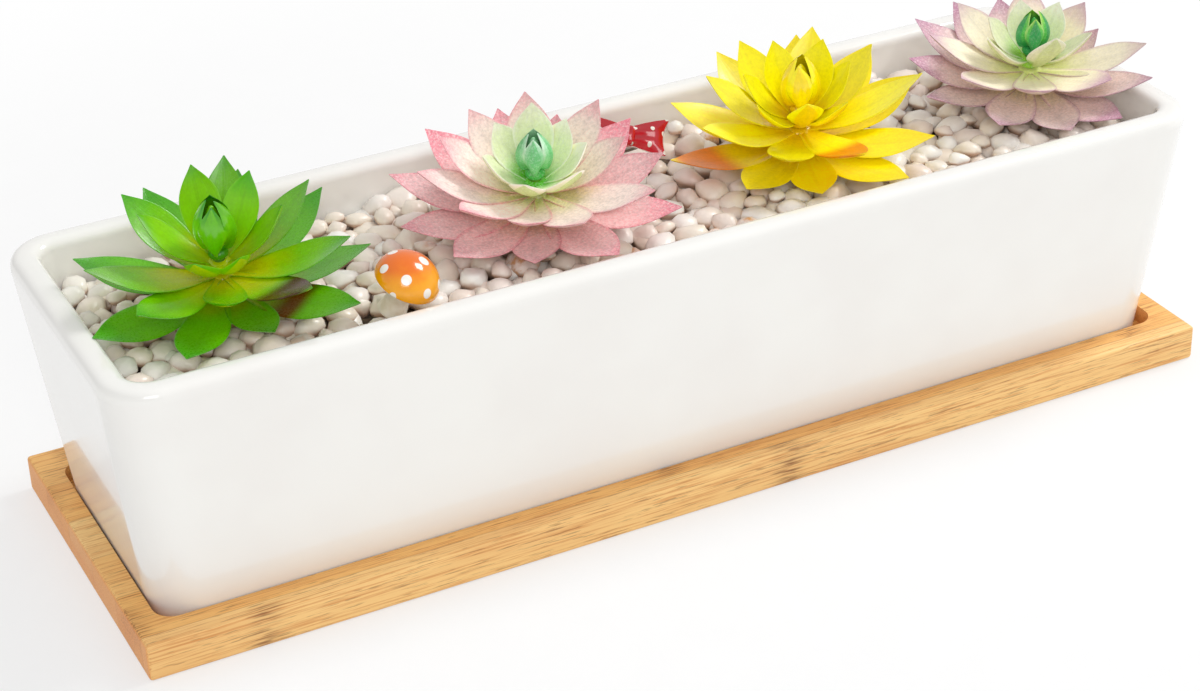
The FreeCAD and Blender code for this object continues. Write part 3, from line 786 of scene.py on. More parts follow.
@dataclass
class Trough:
    """The ceramic trough: leaning walls, full round rim, hollow foot and drain holes."""

    rim_length: float = 305 * MM
    rim_width: float = 92 * MM
    side_lean: float = 6.8 * MM
    wall: float = 7.6 * MM
    floor: float = 7 * MM
    corner: float = 13 * MM
    rim_round: float = 3.6 * MM
    rim_steps: int = 22
    corner_steps: int = 12
    rim_fullness: float = 0.72
    foot_round: float = 1.6 * MM
    foot_border: float = 9 * MM
    foot_hollow: float = 1.5 * MM
    drain_radius: float = 5 * MM
    drain_spacing: float = 92 * MM
    glaze: Glaze = field(default_factory=Glaze)

    def rim_point(self, share: float) -> Tuple[float, float]:
        """A point on the rim's rounded section, from the outer wall (0) to the inner (1).

        Args:
            share: How far round the section.

        Returns:
            The distance from the outer wall, and the height over the start of the rounding.
        """
        angle = math.pi * share
        flat = math.copysign(abs(math.cos(angle)) ** self.rim_fullness, math.cos(angle))
        return ((1 - flat) * self.wall / 2,
                abs(math.sin(angle)) ** self.rim_fullness * self.rim_round)

    def body(self, low: float, high: float) -> bmesh.types.BMesh:
        """Shape the trough, without its drain holes.

        Args:
            low: Height of its foot.
            high: Height of its rim.

        Returns:
            The mesh.
        """
        edge = high - self.rim_round
        tall = edge - low
        shape = block(self.rim_length, self.rim_width, low, edge)
        foot = [vert for vert in shape.verts if vert.co.z < (low + edge) / 2]
        narrow = (1 - 2 * self.side_lean / self.rim_length,
                  1 - 2 * self.side_lean / self.rim_width)
        bmesh.ops.scale(shape, verts=foot, vec=(*narrow, 1))
        ease(shape, edges_at(shape, low, edge), self.corner, self.corner_steps)
        mouth = face_at(shape, edge, 1)
        level = edge
        outline = [self.rim_point(step / self.rim_steps) for step in range(self.rim_steps + 1)]
        for first, then in zip(outline, outline[1:]):
            inward, rise = then[0] - first[0], then[1] - first[1]
            bmesh.ops.inset_region(shape, faces=[mouth], thickness=inward, depth=rise,
                                   use_even_offset=True)
            level += rise
            mouth = face_at(shape, level, 1)
        depth = tall - self.floor
        lean = 2 * self.side_lean * depth / tall
        sink(shape, mouth, -depth, (1 - lean / (self.rim_length - 2 * self.wall),
                                    1 - lean / (self.rim_width - 2 * self.wall)))
        ease(shape, edges_at(shape, low + self.floor, low + self.floor), self.foot_round, 3)
        ease(shape, edges_at(shape, low, low), self.foot_round, 4)
        under = face_at(shape, low, -1)
        bmesh.ops.inset_region(shape, faces=[under], thickness=self.foot_border,
                               use_even_offset=True)
        sink(shape, face_at(shape, low, -1), self.foot_hollow)
        bmesh.ops.recalc_face_normals(shape, faces=shape.faces)
        return shape

    def drill(self, piece: bpy.types.Object, low: float) -> None:
        """Cut the drain holes through the floor.

        Args:
            piece: The trough.
            low: Height of its foot.
        """
        drills = bmesh.new()
        for place in (-1, 0, 1):
            where = Matrix.Translation((place * self.drain_spacing, 0, low + self.floor / 2))
            bmesh.ops.create_cone(drills, cap_ends=True, segments=40, radius1=self.drain_radius,
                                  radius2=self.drain_radius, depth=2 * self.floor, matrix=where)
        tool = to_object("drain_drill", drills, piece.data.materials[0])
        cut = piece.modifiers.new("drains", "BOOLEAN")
        cut.operation = "DIFFERENCE"
        cut.object = tool
        shown = piece.evaluated_get(bpy.context.evaluated_depsgraph_get())
        piece.data = bpy.data.meshes.new_from_object(shown)
        piece.modifiers.clear()
        bpy.data.objects.remove(tool)

    def build(self) -> List[bpy.types.Object]:
        """Make the trough and put it in the place of its solid.

        Returns:
            The piece, in a list.
        """
        low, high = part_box("planter_pot")
        piece = to_object("trough", self.body(low[2], high[2]), self.glaze.material(), 50)
        self.drill(piece, low[2])
        weigh_normals(piece)
        return [stand_in(piece, "pot", "planter_pot")]


@dataclass
class Tray:
    """The bamboo tray, with the recess that the trough's foot stands in."""

    recess_length: float = 293.2 * MM
    recess_width: float = 80.2 * MM
    recess_depth: float = 5 * MM
    recess_corner: float = 5.5 * MM
    edge_round: float = 0.9 * MM
    bamboo: Bamboo = field(default_factory=Bamboo)

    def build(self) -> List[bpy.types.Object]:
        """Make the tray and put it in the place of its solid.

        Returns:
            The piece, in a list.
        """
        low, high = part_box("bamboo_tray")
        length, width = high[0] - low[0], high[1] - low[1]
        shape = block(length, width, low[2], high[2])
        top = face_at(shape, high[2], 1)
        border = (length - self.recess_length) / 2
        bmesh.ops.inset_region(shape, faces=[top], thickness=border, use_even_offset=True)
        seat = face_at(shape, high[2], 1)
        bmesh.ops.scale(shape, verts=seat.verts,
                        vec=(1, self.recess_width / (width - 2 * border), 1))
        sink(shape, seat, -self.recess_depth)
        floor = high[2] - self.recess_depth
        ease(shape, edges_at(shape, floor, high[2]), self.recess_corner, 8)
        outer = [edge for edge in shape.edges
                 if all(abs(abs(vert.co.x) - length / 2) < NEAR
                        or abs(abs(vert.co.y) - width / 2) < NEAR for vert in edge.verts)]
        ease(shape, outer, self.edge_round, 3)
        bmesh.ops.recalc_face_normals(shape, faces=shape.faces)
        piece = to_object("tray", shape, self.bamboo.material(), 40)
        weigh_normals(piece)
        return [stand_in(piece, "tray", "bamboo_tray")]


@dataclass
class Gravel:
    """Loose stones over the buried ones: a deep layer, then a top layer in its hollows."""

    long_radius: float = 4.6 * MM
    small_share: float = 0.78
    size_spread: float = 0.24
    wide_share: float = 0.78
    thick_share: float = 0.64
    closeness: float = 0.72
    dent_depth: float = 0.34
    dent_scale: float = 1.1
    tilt: float = 0.22
    bury: float = 2.6 * MM
    uneven: Tuple[float, float] = (-0.7, 0.5)
    wall_room: float = 2.2 * MM
    stem_room: float = 2.1 * MM
    stem_reach: float = 1.1
    ornament_room: float = 3.0 * MM
    corner: float = 5.2 * MM
    layers: Tuple[Tuple[float, int], ...] = ((0.0, 9000), (2.4 * MM, 9000))
    seed: int = 7
    pebbles: Pebbles = field(default_factory=Pebbles)

    def spots(self, chance: random.Random) -> List[Tuple[Vector, float]]:
        """Throw stones at the bed until no more fit, layer by layer.

        Args:
            chance: The seeded source of chance.

        Returns:
            The middle of each stone and its long radius.
        """
        low, high = (Vector(corner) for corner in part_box("pebble_bed"))
        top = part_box("top_pebbles")[1][2]
        poles = [Vector(pole(plant)) for plant in Plant]
        laid: List[Tuple[Vector, float]] = []
        for rise, tries in self.layers:
            layer: List[Tuple[Vector, float]] = []
            for attempt in range(tries):
                shrink = 1.0 if attempt < tries / 3 else self.small_share
                radius = self.long_radius * shrink * chance.uniform(1 - self.size_spread,
                                                                    1 + self.size_spread)
                room = self.wall_room
                spot = Vector((chance.uniform(low.x + room, high.x - room),
                               chance.uniform(low.y + room, high.y - room)))
                clear = self.stem_room + self.stem_reach * radius
                if any((spot - stem).length < clear for stem in poles):
                    continue
                if any((spot - other.xy).length < self.closeness * (radius + wide)
                       for other, wide in layer):
                    continue
                height = top - self.thick_share * radius - self.bury + rise
                height += chance.uniform(*self.uneven) * MM
                layer.append((Vector((spot.x, spot.y, height)), radius))
            laid += layer
        return laid

    def stone(self, shape: bmesh.types.BMesh, centre: Vector, radius: float,
              chance: random.Random) -> List[bmesh.types.BMVert]:
        """Add one worn stone: a flattened ball with a few broad dents.

        Args:
            shape: The mesh that takes it.
            centre: Its middle.
            radius: Its long radius.
            chance: The seeded source of chance.

        Returns:
            Its vertices.
        """
        made = bmesh.ops.create_icosphere(shape, subdivisions=2, radius=1.0)
        drift = Vector((chance.uniform(-90, 90), chance.uniform(-90, 90), 0))
        for vert in made["verts"]:
            vert.co *= 1 + self.dent_depth * noise.noise(vert.co * self.dent_scale + drift)
        wide = radius * self.wide_share * chance.uniform(0.85, 1.15)
        thick = radius * self.thick_share * chance.uniform(0.85, 1.1)
        roll, pitch = chance.gauss(0, self.tilt), chance.gauss(0, self.tilt)
        yaw = chance.uniform(0, math.tau)
        turn = Matrix.Rotation(yaw, 4, "Z") @ Matrix.Rotation(pitch, 4, "Y")
        turn = turn @ Matrix.Rotation(roll, 4, "X")
        place = Matrix.Translation(centre) @ turn @ Matrix.Diagonal((radius, wide, thick, 1))
        bmesh.ops.transform(shape, matrix=place, verts=made["verts"])
        return made["verts"]

    def press(self, verts: List[bmesh.types.BMVert], middle: Vector, half: Vector) -> None:
        """Flatten a stone against the trough's inner wall where it would reach into it.

        Args:
            verts: The stone's vertices.
            middle: The middle of the buried gravel.
            half: Half of that gravel's size along each axis.
        """
        for vert in verts:
            out = vert.co.xy - middle.xy
            core = Vector([max(self.corner - half[axis], min(half[axis] - self.corner, out[axis]))
                           for axis in (0, 1)])
            away = out - core
            if away.length > self.corner:
                vert.co.xy = middle.xy + core + away.normalized() * self.corner

    def low_room(self, centre: Vector) -> float:
        """Find how far a stone is pushed down to clear an ornament above it.

        Args:
            centre: The middle of the stone.

        Returns:
            The distance, 0 where nothing stands above.
        """
        room = self.ornament_room
        for low, high in (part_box("mushroom_stalk"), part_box("bow_loops")):
            if all(low[axis] - room < centre[axis] < high[axis] + room for axis in (0, 1)):
                return room
        return 0.0

    def build(self) -> List[bpy.types.Object]:
        """Lay the stones and put them in the place of their solid.

        Returns:
            The piece, in a list.
        """
        chance = random.Random(self.seed)
        shape = bmesh.new()
        tone = shape.verts.layers.float.new("tone")
        warm = shape.verts.layers.float.new("warm")
        low, high = (Vector(corner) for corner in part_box("pebble_bed"))
        middle, half = (low + high) / 2, (high - low) / 2
        for centre, radius in self.spots(chance):
            centre.z -= self.low_room(centre)
            verts = self.stone(shape, centre, radius, chance)
            self.press(verts, middle, half)
            values = chance.random(), chance.random()
            for vert in verts:
                vert[tone], vert[warm] = values
        piece = to_object("gravel", shape, self.pebbles.material())
        return [stand_in(piece, "pot", "top_pebbles")]


@dataclass
class LeafForm:
    """One moulded leaf: a keeled, cupped blade from its root to a pointed tip.

    The blade is drawn as a ring that is extruded from station to station. The stations are shares
    of the length, and the ring has a keel below and a hollow above.
    """

    length: float
    breadth: float
    thickness: float = 3.0 * MM
    bow_share: float = 0.28
    cup_share: float = 0.30
    curl_share: float = 0.0
    keel_share: float = 0.68
    stations: Tuple[float, ...] = (0.10, 0.24, 0.40, 0.56, 0.70, 0.82, 0.91, 0.965)
    widest: float = 0.56
    fullness: float = 0.62
    root_width: float = 0.30
    hollow: float = 0.05
    keel_power: float = 1.5
    tip_depth: float = 0.12
    twist_spread: float = 0.10
    sway_spread: float = 0.018

    def width_at(self, share: float) -> float:
        """Find the breadth of the blade.

        Args:
            share: Where along the leaf, from 0 at its root to 1 at its tip.

        Returns:
            The breadth there, as a share of the largest.
        """
        power = math.log(0.5) / math.log(self.widest)
        swell = math.sin(math.pi * share ** power) ** (
            self.fullness + self.fullness * share * share)
        return max(self.root_width, swell) if share < self.widest else swell

    def depth_at(self, share: float) -> float:
        """Thickness at a share of the length, as a share of the largest."""
        return self.tip_depth + (1 - self.tip_depth) * (1 - share ** 2.4)

    def middle(self, share: float) -> Vector:
        """The centre line, bowed down between root and tip."""
        rise = self.curl_share * share ** 3 - self.bow_share * share * (1 - share)
        return Vector((share * self.length, 0, rise * self.length))

    def ring(self, shape: bmesh.types.BMesh) -> List[bmesh.types.BMVert]:
        """Start the blade: a capped circle, pressed to a keel below and a hollow above.

        Args:
            shape: The mesh that takes it.

        Returns:
            The ring's vertices.
        """
        made = bmesh.ops.create_circle(shape, cap_ends=True, segments=12, radius=1.0)
        for vert in made["verts"]:
            across, up = vert.co.x, vert.co.y
            lift = self.cup_share * across * across
            lift += (self.hollow * up if up > 0
                     else -self.keel_share * (-up) ** self.keel_power)
            vert.co = Vector((0, across, lift))
        return made["verts"]

    def add(self, shape: bmesh.types.BMesh, place: Matrix, values: Dict[str, float],
            chance: random.Random) -> None:
        """Add the leaf to a mesh, in its place.

        Args:
            shape: The mesh that takes it. It has the float layers that are set here.
            place: Where the root is, with X along the leaf and Z up from it.
            values: Numbers that are the same all over the leaf, by layer.
            chance: The seeded source of chance.
        """
        layers = {key: shape.verts.layers.float[key]
                  for key in ("along", "across", "under", *values)}
        verts = self.ring(shape)
        unit = {vert: vert.co.copy() for vert in verts}
        twist, sway = chance.gauss(0, self.twist_spread), chance.gauss(0, self.sway_spread)
        made = list(verts)
        last = verts[0].link_faces[0]
        marks = {vert: 0.0 for vert in verts}
        for share in self.stations:
            left = last
            _, last = grow(shape, left, Vector())
            if share > self.stations[0]:
                drop(shape, left)
            for vert in last.verts:
                source = min(verts, key=lambda item: (item.co - vert.co).length_squared)
                unit[vert] = unit[source]
                marks[vert] = share
            verts = list(last.verts)
            made += verts
        tip = bmesh.ops.poke(shape, faces=[last])["verts"][0]
        unit[tip], marks[tip] = Vector((0, 0, self.cup_share * 0.2)), 1.0
        made.append(tip)
        for vert in made:
            share, base = marks[vert], unit[vert]
            size_y = self.width_at(share) * self.breadth / 2 if share < 1 else 0.0
            size_z = self.depth_at(share) * self.thickness
            local = self.middle(share) + Vector((0, base.y * size_y, base.z * size_z))
            local.y += sway * self.length * share * share
            vert.co = place @ (Matrix.Rotation(twist * share, 4, "X") @ local)
            vert[layers["along"]], vert[layers["across"]] = share, base.y
            vert[layers["under"]] = 1.0 if base.z < -0.05 else 0.0
            for key, value in values.items():
                vert[layers[key]] = value


@dataclass
class Succulent:
    """One moulded succulent: stem, three tiers of leaves and the bud."""

    plant: Plant
    leaf_length: float
    leaf_breadth: float
    bud_scale: float
    leaves: Dict[Tier, Tuple[LeafPlace, ...]]
    patches: Dict[Tier, Tuple[int, ...]] = field(default_factory=dict)
    bud_length: float = 15 * MM
    bud_breadth: float = 8 * MM
    bud_curl: float = 0.36
    bud_cup: float = 0.75
    heart_height: float = 0.88
    heart_width: float = 0.38
    heart_taper: float = 0.4
    heart_tone: float = 0.4
    leaf_trim: float = 0.985
    leaf_spread: float = 1.04
    leaf_root: float = 0.5
    bud_root: float = 0.8
    hub_radius: float = 4.2 * MM
    hub_taper: float = 0.86
    bud_hub_radius: float = 3.0 * MM
    hub_height: float = 3.4 * MM
    first_hub_rise: float = 3.15 * MM
    stem_hubs: float = 3.5
    bend_radius: float = 3 * STEM_RADIUS
    fill_drop: float = 7.0 * MM
    knee_rise: float = 0.35 * MM
    lean_angle: float = 12.0
    lean_turn: float = 244.0

    def head(self) -> Matrix:
        """Find the frame of the leaning head, with its origin at the knee of the stem.

        Returns:
            The frame.
        """
        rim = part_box("planter_pot")[1][2]
        knee = Vector((*pole(self.plant), rim - self.fill_drop + self.knee_rise))
        axis = UP.cross(bearing(self.lean_turn))
        return Matrix.Translation(knee) @ Matrix.Rotation(math.radians(self.lean_angle), 4, axis)

    def stem(self) -> bpy.types.Object:
        """Make the plastic stem, extruded up to the knee, bent and extruded on.

        Returns:
            The stem.
        """
        low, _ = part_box(f"{self.plant.value}_stem")
        head = self.head()
        shape = bmesh.new()
        foot = Matrix.Translation((head.translation.x, head.translation.y, low[2]))
        made = bmesh.ops.create_circle(shape, cap_ends=True, segments=20,
                                       radius=STEM_RADIUS, matrix=foot)
        top = self.first_hub_rise + self.stem_hubs * self.hub_height
        bend = bearing(self.lean_turn)
        arc = self.bend_radius * math.tan(math.radians(self.lean_angle) / 2)
        _, before = grow(shape, made["verts"][0].link_faces[0],
                         UP * (head.translation.z - low[2] - arc))
        centre = head.translation - UP * arc + bend * self.bend_radius
        spun = bmesh.ops.spin(shape, geom=[before], cent=centre, axis=UP.cross(bend),
                              angle=math.radians(self.lean_angle), steps=4)
        after = next(item for item in spun["geom_last"] if isinstance(item, bmesh.types.BMFace))
        grow(shape, after, head.to_3x3() @ UP * (top - arc))
        drop(shape, before)
        drop(shape, after)
        bmesh.ops.recalc_face_normals(shape, faces=shape.faces)
        finish = Plastic(f"{self.plant.value}_stem_plastic", "6f9a34", "4c7a26")
        return to_object(f"{self.plant.value}_rod", shape, finish.material(), 40)

    def whorl(self, tier: Tier, level: int) -> bpy.types.Object:
        """Make one tier: its hub, and its leaves at their turns and rises.

        Args:
            tier: Which tier.
            level: How many hubs lie under it.

        Returns:
            The tier as one piece.
        """
        chance = random.Random(f"{self.plant.value} {tier.value}")
        shape = bmesh.new()
        for layer in ("along", "across", "under", "tone", "patch"):
            shape.verts.layers.float.new(layer)
        bud = tier is Tier.BUD
        low = self.first_hub_rise + level * self.hub_height
        hub = self.bud_hub_radius if bud else self.hub_radius
        middle = Matrix.Translation((0, 0, low + self.hub_height / 2))
        made = bmesh.ops.create_cone(shape, cap_ends=True, segments=16, radius1=hub,
                                     radius2=hub * self.hub_taper, depth=self.hub_height,
                                     matrix=middle)
        head = self.head()
        bmesh.ops.transform(shape, matrix=head, verts=made["verts"])
        root = low + self.hub_height * (self.bud_root if bud else self.leaf_root)
        length = self.bud_length * self.bud_scale if bud else self.leaf_length
        breadth = self.bud_breadth * self.bud_scale if bud else self.leaf_breadth
        for index, (turn, rise, share) in enumerate(self.leaves[tier]):
            form = LeafForm(share * length * self.leaf_trim,
                            breadth * math.sqrt(share) * self.leaf_spread)
            if bud:
                form.curl_share, form.cup_share = self.bud_curl, self.bud_cup
            place = stance(bearing(turn) * STEM_RADIUS + UP * root, turn, -rise)
            patched = index in self.patches.get(tier, ())
            values = {"tone": chance.uniform(-1, 1), "patch": float(patched)}
            form.add(shape, head @ place, values, chance)
        if bud:
            self.heart(shape, head @ Matrix.Translation(UP * root))
        bmesh.ops.recalc_face_normals(shape, faces=shape.faces)
        name = f"{self.plant.value}_{tier.name.lower()}"
        skin = LEAF_SKINS[self.plant][level].material(f"{name}_skin")
        piece = to_object(f"{name}_whorl", shape, skin)
        subdivide(piece, 2)
        return piece

    def heart(self, shape: bmesh.types.BMesh, place: Matrix) -> None:
        """Close the bud from the inside with an egg of folded leaves.

        Args:
            shape: The mesh that takes it.
            place: The frame of the egg's lower end.
        """
        half = self.bud_length * self.bud_scale * self.heart_height / 2
        wide = self.bud_breadth * self.bud_scale * self.heart_width
        made = bmesh.ops.create_uvsphere(shape, u_segments=16, v_segments=12, radius=1.0)
        layers = shape.verts.layers.float
        for vert in made["verts"]:
            up = vert.co.z
            reach = wide * (1 - self.heart_taper * max(0.0, up))
            vert.co = Vector((vert.co.x * reach, vert.co.y * reach, half * (1 + up)))
            vert[layers["along"]] = 0.35 + 0.25 * up
            vert[layers["tone"]] = self.heart_tone
        bmesh.ops.transform(shape, matrix=place, verts=made["verts"])

    def build(self) -> List[bpy.types.Object]:
        """Make the stem and the tiers, and put each in the place of its solid.

        Returns:
            The pieces.
        """
        name = self.plant.value
        body = f"{name}_succulent"
        rod = stand_in(self.stem(), body, f"{name}_stem")
        return [rod, *(stand_in(self.whorl(tier, level), body, f"{name}_{tier.value}") for level, tier in enumerate(Tier))]


@dataclass
class Mushroom:
    """The toy mushroom: a flared stalk under a domed, dotted cap."""

    between_shares: Tuple[float, float] = (0.395, -0.64)
    lean: float = 27.0
    turn: float = -45.0
    foot_radius: float = 3.9 * MM
    top_radius: float = 2.9 * MM
    stalk_length: float = 9 * MM
    cap_radius: float = 8.3 * MM
    brim_height: float = 1.2 * MM
    dome_height: float = 7.0 * MM
    first_dot: Tuple[float, float] = (0.1, 0.05)
    seat: float = 3.9 * MM
    foot_round: float = 0.7 * MM
    waist: float = 0.10
    paint: Spotted = Spotted("dotted_orange", "ffac08", "ec7000", spacing=7.4 * MM,
                             dot_share=0.21, coat=0.55)
    stalk_plastic: Plastic = Plastic("stalk_white", "fdf8ea", "e8dcc4")

    def frame(self) -> Matrix:
        """Find the frame of the leaning mushroom, from the middle of the stalk's foot.

        Returns:
            The frame.
        """
        first, second = pole(Plant.GREEN)[0], pole(Plant.ROSE)[0]
        share, side = self.between_shares
        drop = self.foot_radius * math.sin(math.radians(self.lean))
        place = Vector((first + (second - first) * share, side * MOUTH_HALF,
                        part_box("pebble_bed")[1][2] + self.seat + drop))
        return stance(place, self.turn, self.lean)

    def cap(self) -> bpy.types.Object:
        """Make the cap: a ball with a low brim, and a UV map that unrolls it from its top.

        Returns:
            The cap.
        """
        shape = bmesh.new()
        paint = shape.loops.layers.uv.new("paint")
        bmesh.ops.create_uvsphere(shape, u_segments=48, v_segments=32, radius=1.0)
        for face in shape.faces:
            for loop in face.loops:
                spot = loop.vert.co.normalized()
                reach = math.acos(max(-1.0, min(1.0, spot.z))) * self.cap_radius
                out = spot.xy.normalized() if spot.xy.length > 1e-6 else Vector((0, 0))
                loop[paint].uv = out * (reach / self.paint.spacing) + Vector(self.first_dot)
        for vert in shape.verts:
            low = vert.co.z < 0
            vert.co.z *= self.brim_height if low else self.dome_height
            vert.co.x *= self.cap_radius
            vert.co.y *= self.cap_radius
        brim = self.stalk_length + self.brim_height
        bmesh.ops.translate(shape, verts=shape.verts, vec=(0, 0, brim))
        return to_object("mushroom_dome", shape, self.paint.material(), place=self.frame())

    def stalk(self) -> bpy.types.Object:
        """Make the stalk: a cone that flares at its foot.

        Returns:
            The stalk.
        """
        shape = bmesh.new()
        middle = Matrix.Translation((0, 0, self.stalk_length / 2))
        bmesh.ops.create_cone(shape, cap_ends=True, segments=32, radius1=self.foot_radius,
                              radius2=self.top_radius, depth=self.stalk_length, matrix=middle)
        ease(shape, edges_at(shape, 0, 0), self.foot_round, 4)
        tall = [edge for edge in shape.edges
                if abs(edge.verts[0].co.z - edge.verts[1].co.z) > self.stalk_length / 2]
        bmesh.ops.subdivide_edges(shape, edges=tall, cuts=5, use_grid_fill=True)
        for vert in shape.verts:
            share = vert.co.z / self.stalk_length
            slim = 1 - self.waist * math.sin(math.pi * min(1.0, max(0.0, share)))
            vert.co.x *= slim
            vert.co.y *= slim
        return to_object("mushroom_foot", shape, self.stalk_plastic.material(), 50,
                         self.frame())

    def build(self) -> List[bpy.types.Object]:
        """Make both pieces and put them in the place of their solids.

        Returns:
            The stalk and the cap.
        """
        return [stand_in(self.stalk(), "mushroom", "mushroom_stalk"),
                stand_in(self.cap(), "mushroom", "mushroom_cap")]


@dataclass
class Bow:
    """The small moulded bow: two puffed loops and the knot round their waist."""

    half_length: float = 11 * MM
    end_height: float = 11 * MM
    waist_height: float = 4.4 * MM
    thickness: float = 4.4 * MM
    knot_width: float = 4.6 * MM
    knot_height: float = 5.6 * MM
    knot_thickness: float = 5.6 * MM
    knot_ball: float = 1.18
    knot_puff: float = 0.55
    flare: float = 0.85
    pillow: float = 0.75
    pleat_depth: float = 0.22
    pleat_turn: float = 8.0
    notch_depth: float = 0.14
    lean: float = -35.0
    turn: float = -38.0
    paint: Spotted = Spotted("dotted_red", "d40a26", "b5051c", spacing=4.6 * MM,
                             dot_share=0.15, jitter=0.25)

    def frame(self) -> Matrix:
        """Frame of the leaning bow, from its middle."""
        low, high = (Vector(corner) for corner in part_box("bow_loops"))
        return stance((low + high) / 2, self.turn, self.lean, "X")

    def blank(self, cuts: int) -> bmesh.types.BMesh:
        """Start a mesh with a block from -1 to 1 along each axis, cut into squares.

        Args:
            cuts: How many cuts cross each side.

        Returns:
            The mesh.
        """
        shape = bmesh.new()
        bmesh.ops.create_cube(shape, size=2.0)
        bmesh.ops.subdivide_edges(shape, edges=shape.edges, cuts=cuts, use_grid_fill=True)
        return shape

    def finish(self, name: str, shape: bmesh.types.BMesh) -> bpy.types.Object:
        """Lay the dots flat on the front and the back, and make the rounded piece.

        Args:
            name: The piece's name.
            shape: Its mesh, upright at the origin.

        Returns:
            The piece, in its place.
        """
        paint = shape.loops.layers.uv.new("paint")
        for face in shape.faces:
            for loop in face.loops:
                spot = loop.vert.co / self.paint.spacing
                loop[paint].uv = Vector((spot.x + spot.y * 0.6, spot.z + spot.y * 0.8))
        piece = to_object(name, shape, self.paint.material(), place=self.frame())
        subdivide(piece, 2)
        return piece

    def loops(self) -> bpy.types.Object:
        """Make both loops in one piece: a block, drawn in to a pleated waist.

        Returns:
            The loops.
        """
        shape = self.blank(7)
        for vert in shape.verts:
            u, w, v = vert.co
            out = abs(u) ** self.flare
            tall = self.waist_height + (self.end_height - self.waist_height) * out
            puff = math.sqrt(max(0.0, 1 - self.pillow * v * v))
            puff *= 1 - 0.55 * max(0.0, abs(u) - 0.8) * 5
            thick = self.thickness * (0.62 + 0.38 * math.sin(math.pi * min(1.0, out + 0.12)))
            pleat = 1 - self.pleat_depth * (1 - abs(u)) * math.cos(v * self.pleat_turn)
            notch = 1 - self.notch_depth * (1 - v * v) * max(0.0, abs(u) - 0.6) * 2.5
            vert.co = Vector((u * self.half_length * notch, w * thick / 2 * max(0.25, puff * pleat),
                              v * tall / 2 * (1 - 0.06 * u * u)))
        return self.finish("ribbon_loops", shape)

    def knot(self) -> bpy.types.Object:
        """Make the knot: a block puffed to a cushion.

        Returns:
            The knot.
        """
        shape = self.blank(3)
        half = Vector((self.knot_width, self.knot_thickness, self.knot_height)) / 2
        for vert in shape.verts:
            cushion = vert.co.lerp(vert.co.normalized() * self.knot_ball, self.knot_puff)
            vert.co = Vector(part * size for part, size in zip(cushion, half))
        return self.finish("ribbon_knot", shape)

    def build(self) -> List[bpy.types.Object]:
        """Make both pieces and put them in the place of their solids.

        Returns:
            The loops and the knot.
        """
        return [stand_in(self.loops(), "bow", "bow_loops"),
                stand_in(self.knot(), "bow", "bow_knot")]


@dataclass
class Filling:
    """Finishes of the two filling blocks, which keep the shapes of their solids."""

    soil: Earth = Earth("dark_soil", "1d1510", "3c2c20")
    # Painted shade: the buried gravel is coloured dark brown to stand for the shade in the gaps
    # between the loose stones.
    bed: Earth = Earth("shaded_gravel", "4a3d32", "8f7f6e", 3.2 * MM)

    def dress(self) -> None:
        """Put the finishes on the soil and on the bed of buried gravel."""
        for node, finish in (("potting_soil", self.soil), ("pebble_bed", self.bed)):
            block = bpy.data.objects[node]
            block.data.materials.clear()
            block.data.materials.append(finish.material())


@dataclass(frozen=True)
class Lamp:
    """A square lamp."""

    name: str
    place: Tuple[float, float, float]
    power: float
    width: float

    def hang(self, aim: Vector) -> None:
        """Hang the lamp in its place.

        Args:
            aim: The point that it faces.
        """
        light = bpy.data.lights.new(self.name, "AREA")
        light.energy, light.size = self.power, self.width
        lamp = bpy.data.objects.new(self.name, light)
        place = Vector(self.place)
        facing = (place - aim).to_track_quat("Z", "Y")
        lamp.matrix_world = Matrix.Translation(place) @ facing.to_matrix().to_4x4()
        bpy.context.scene.collection.objects.link(lamp)


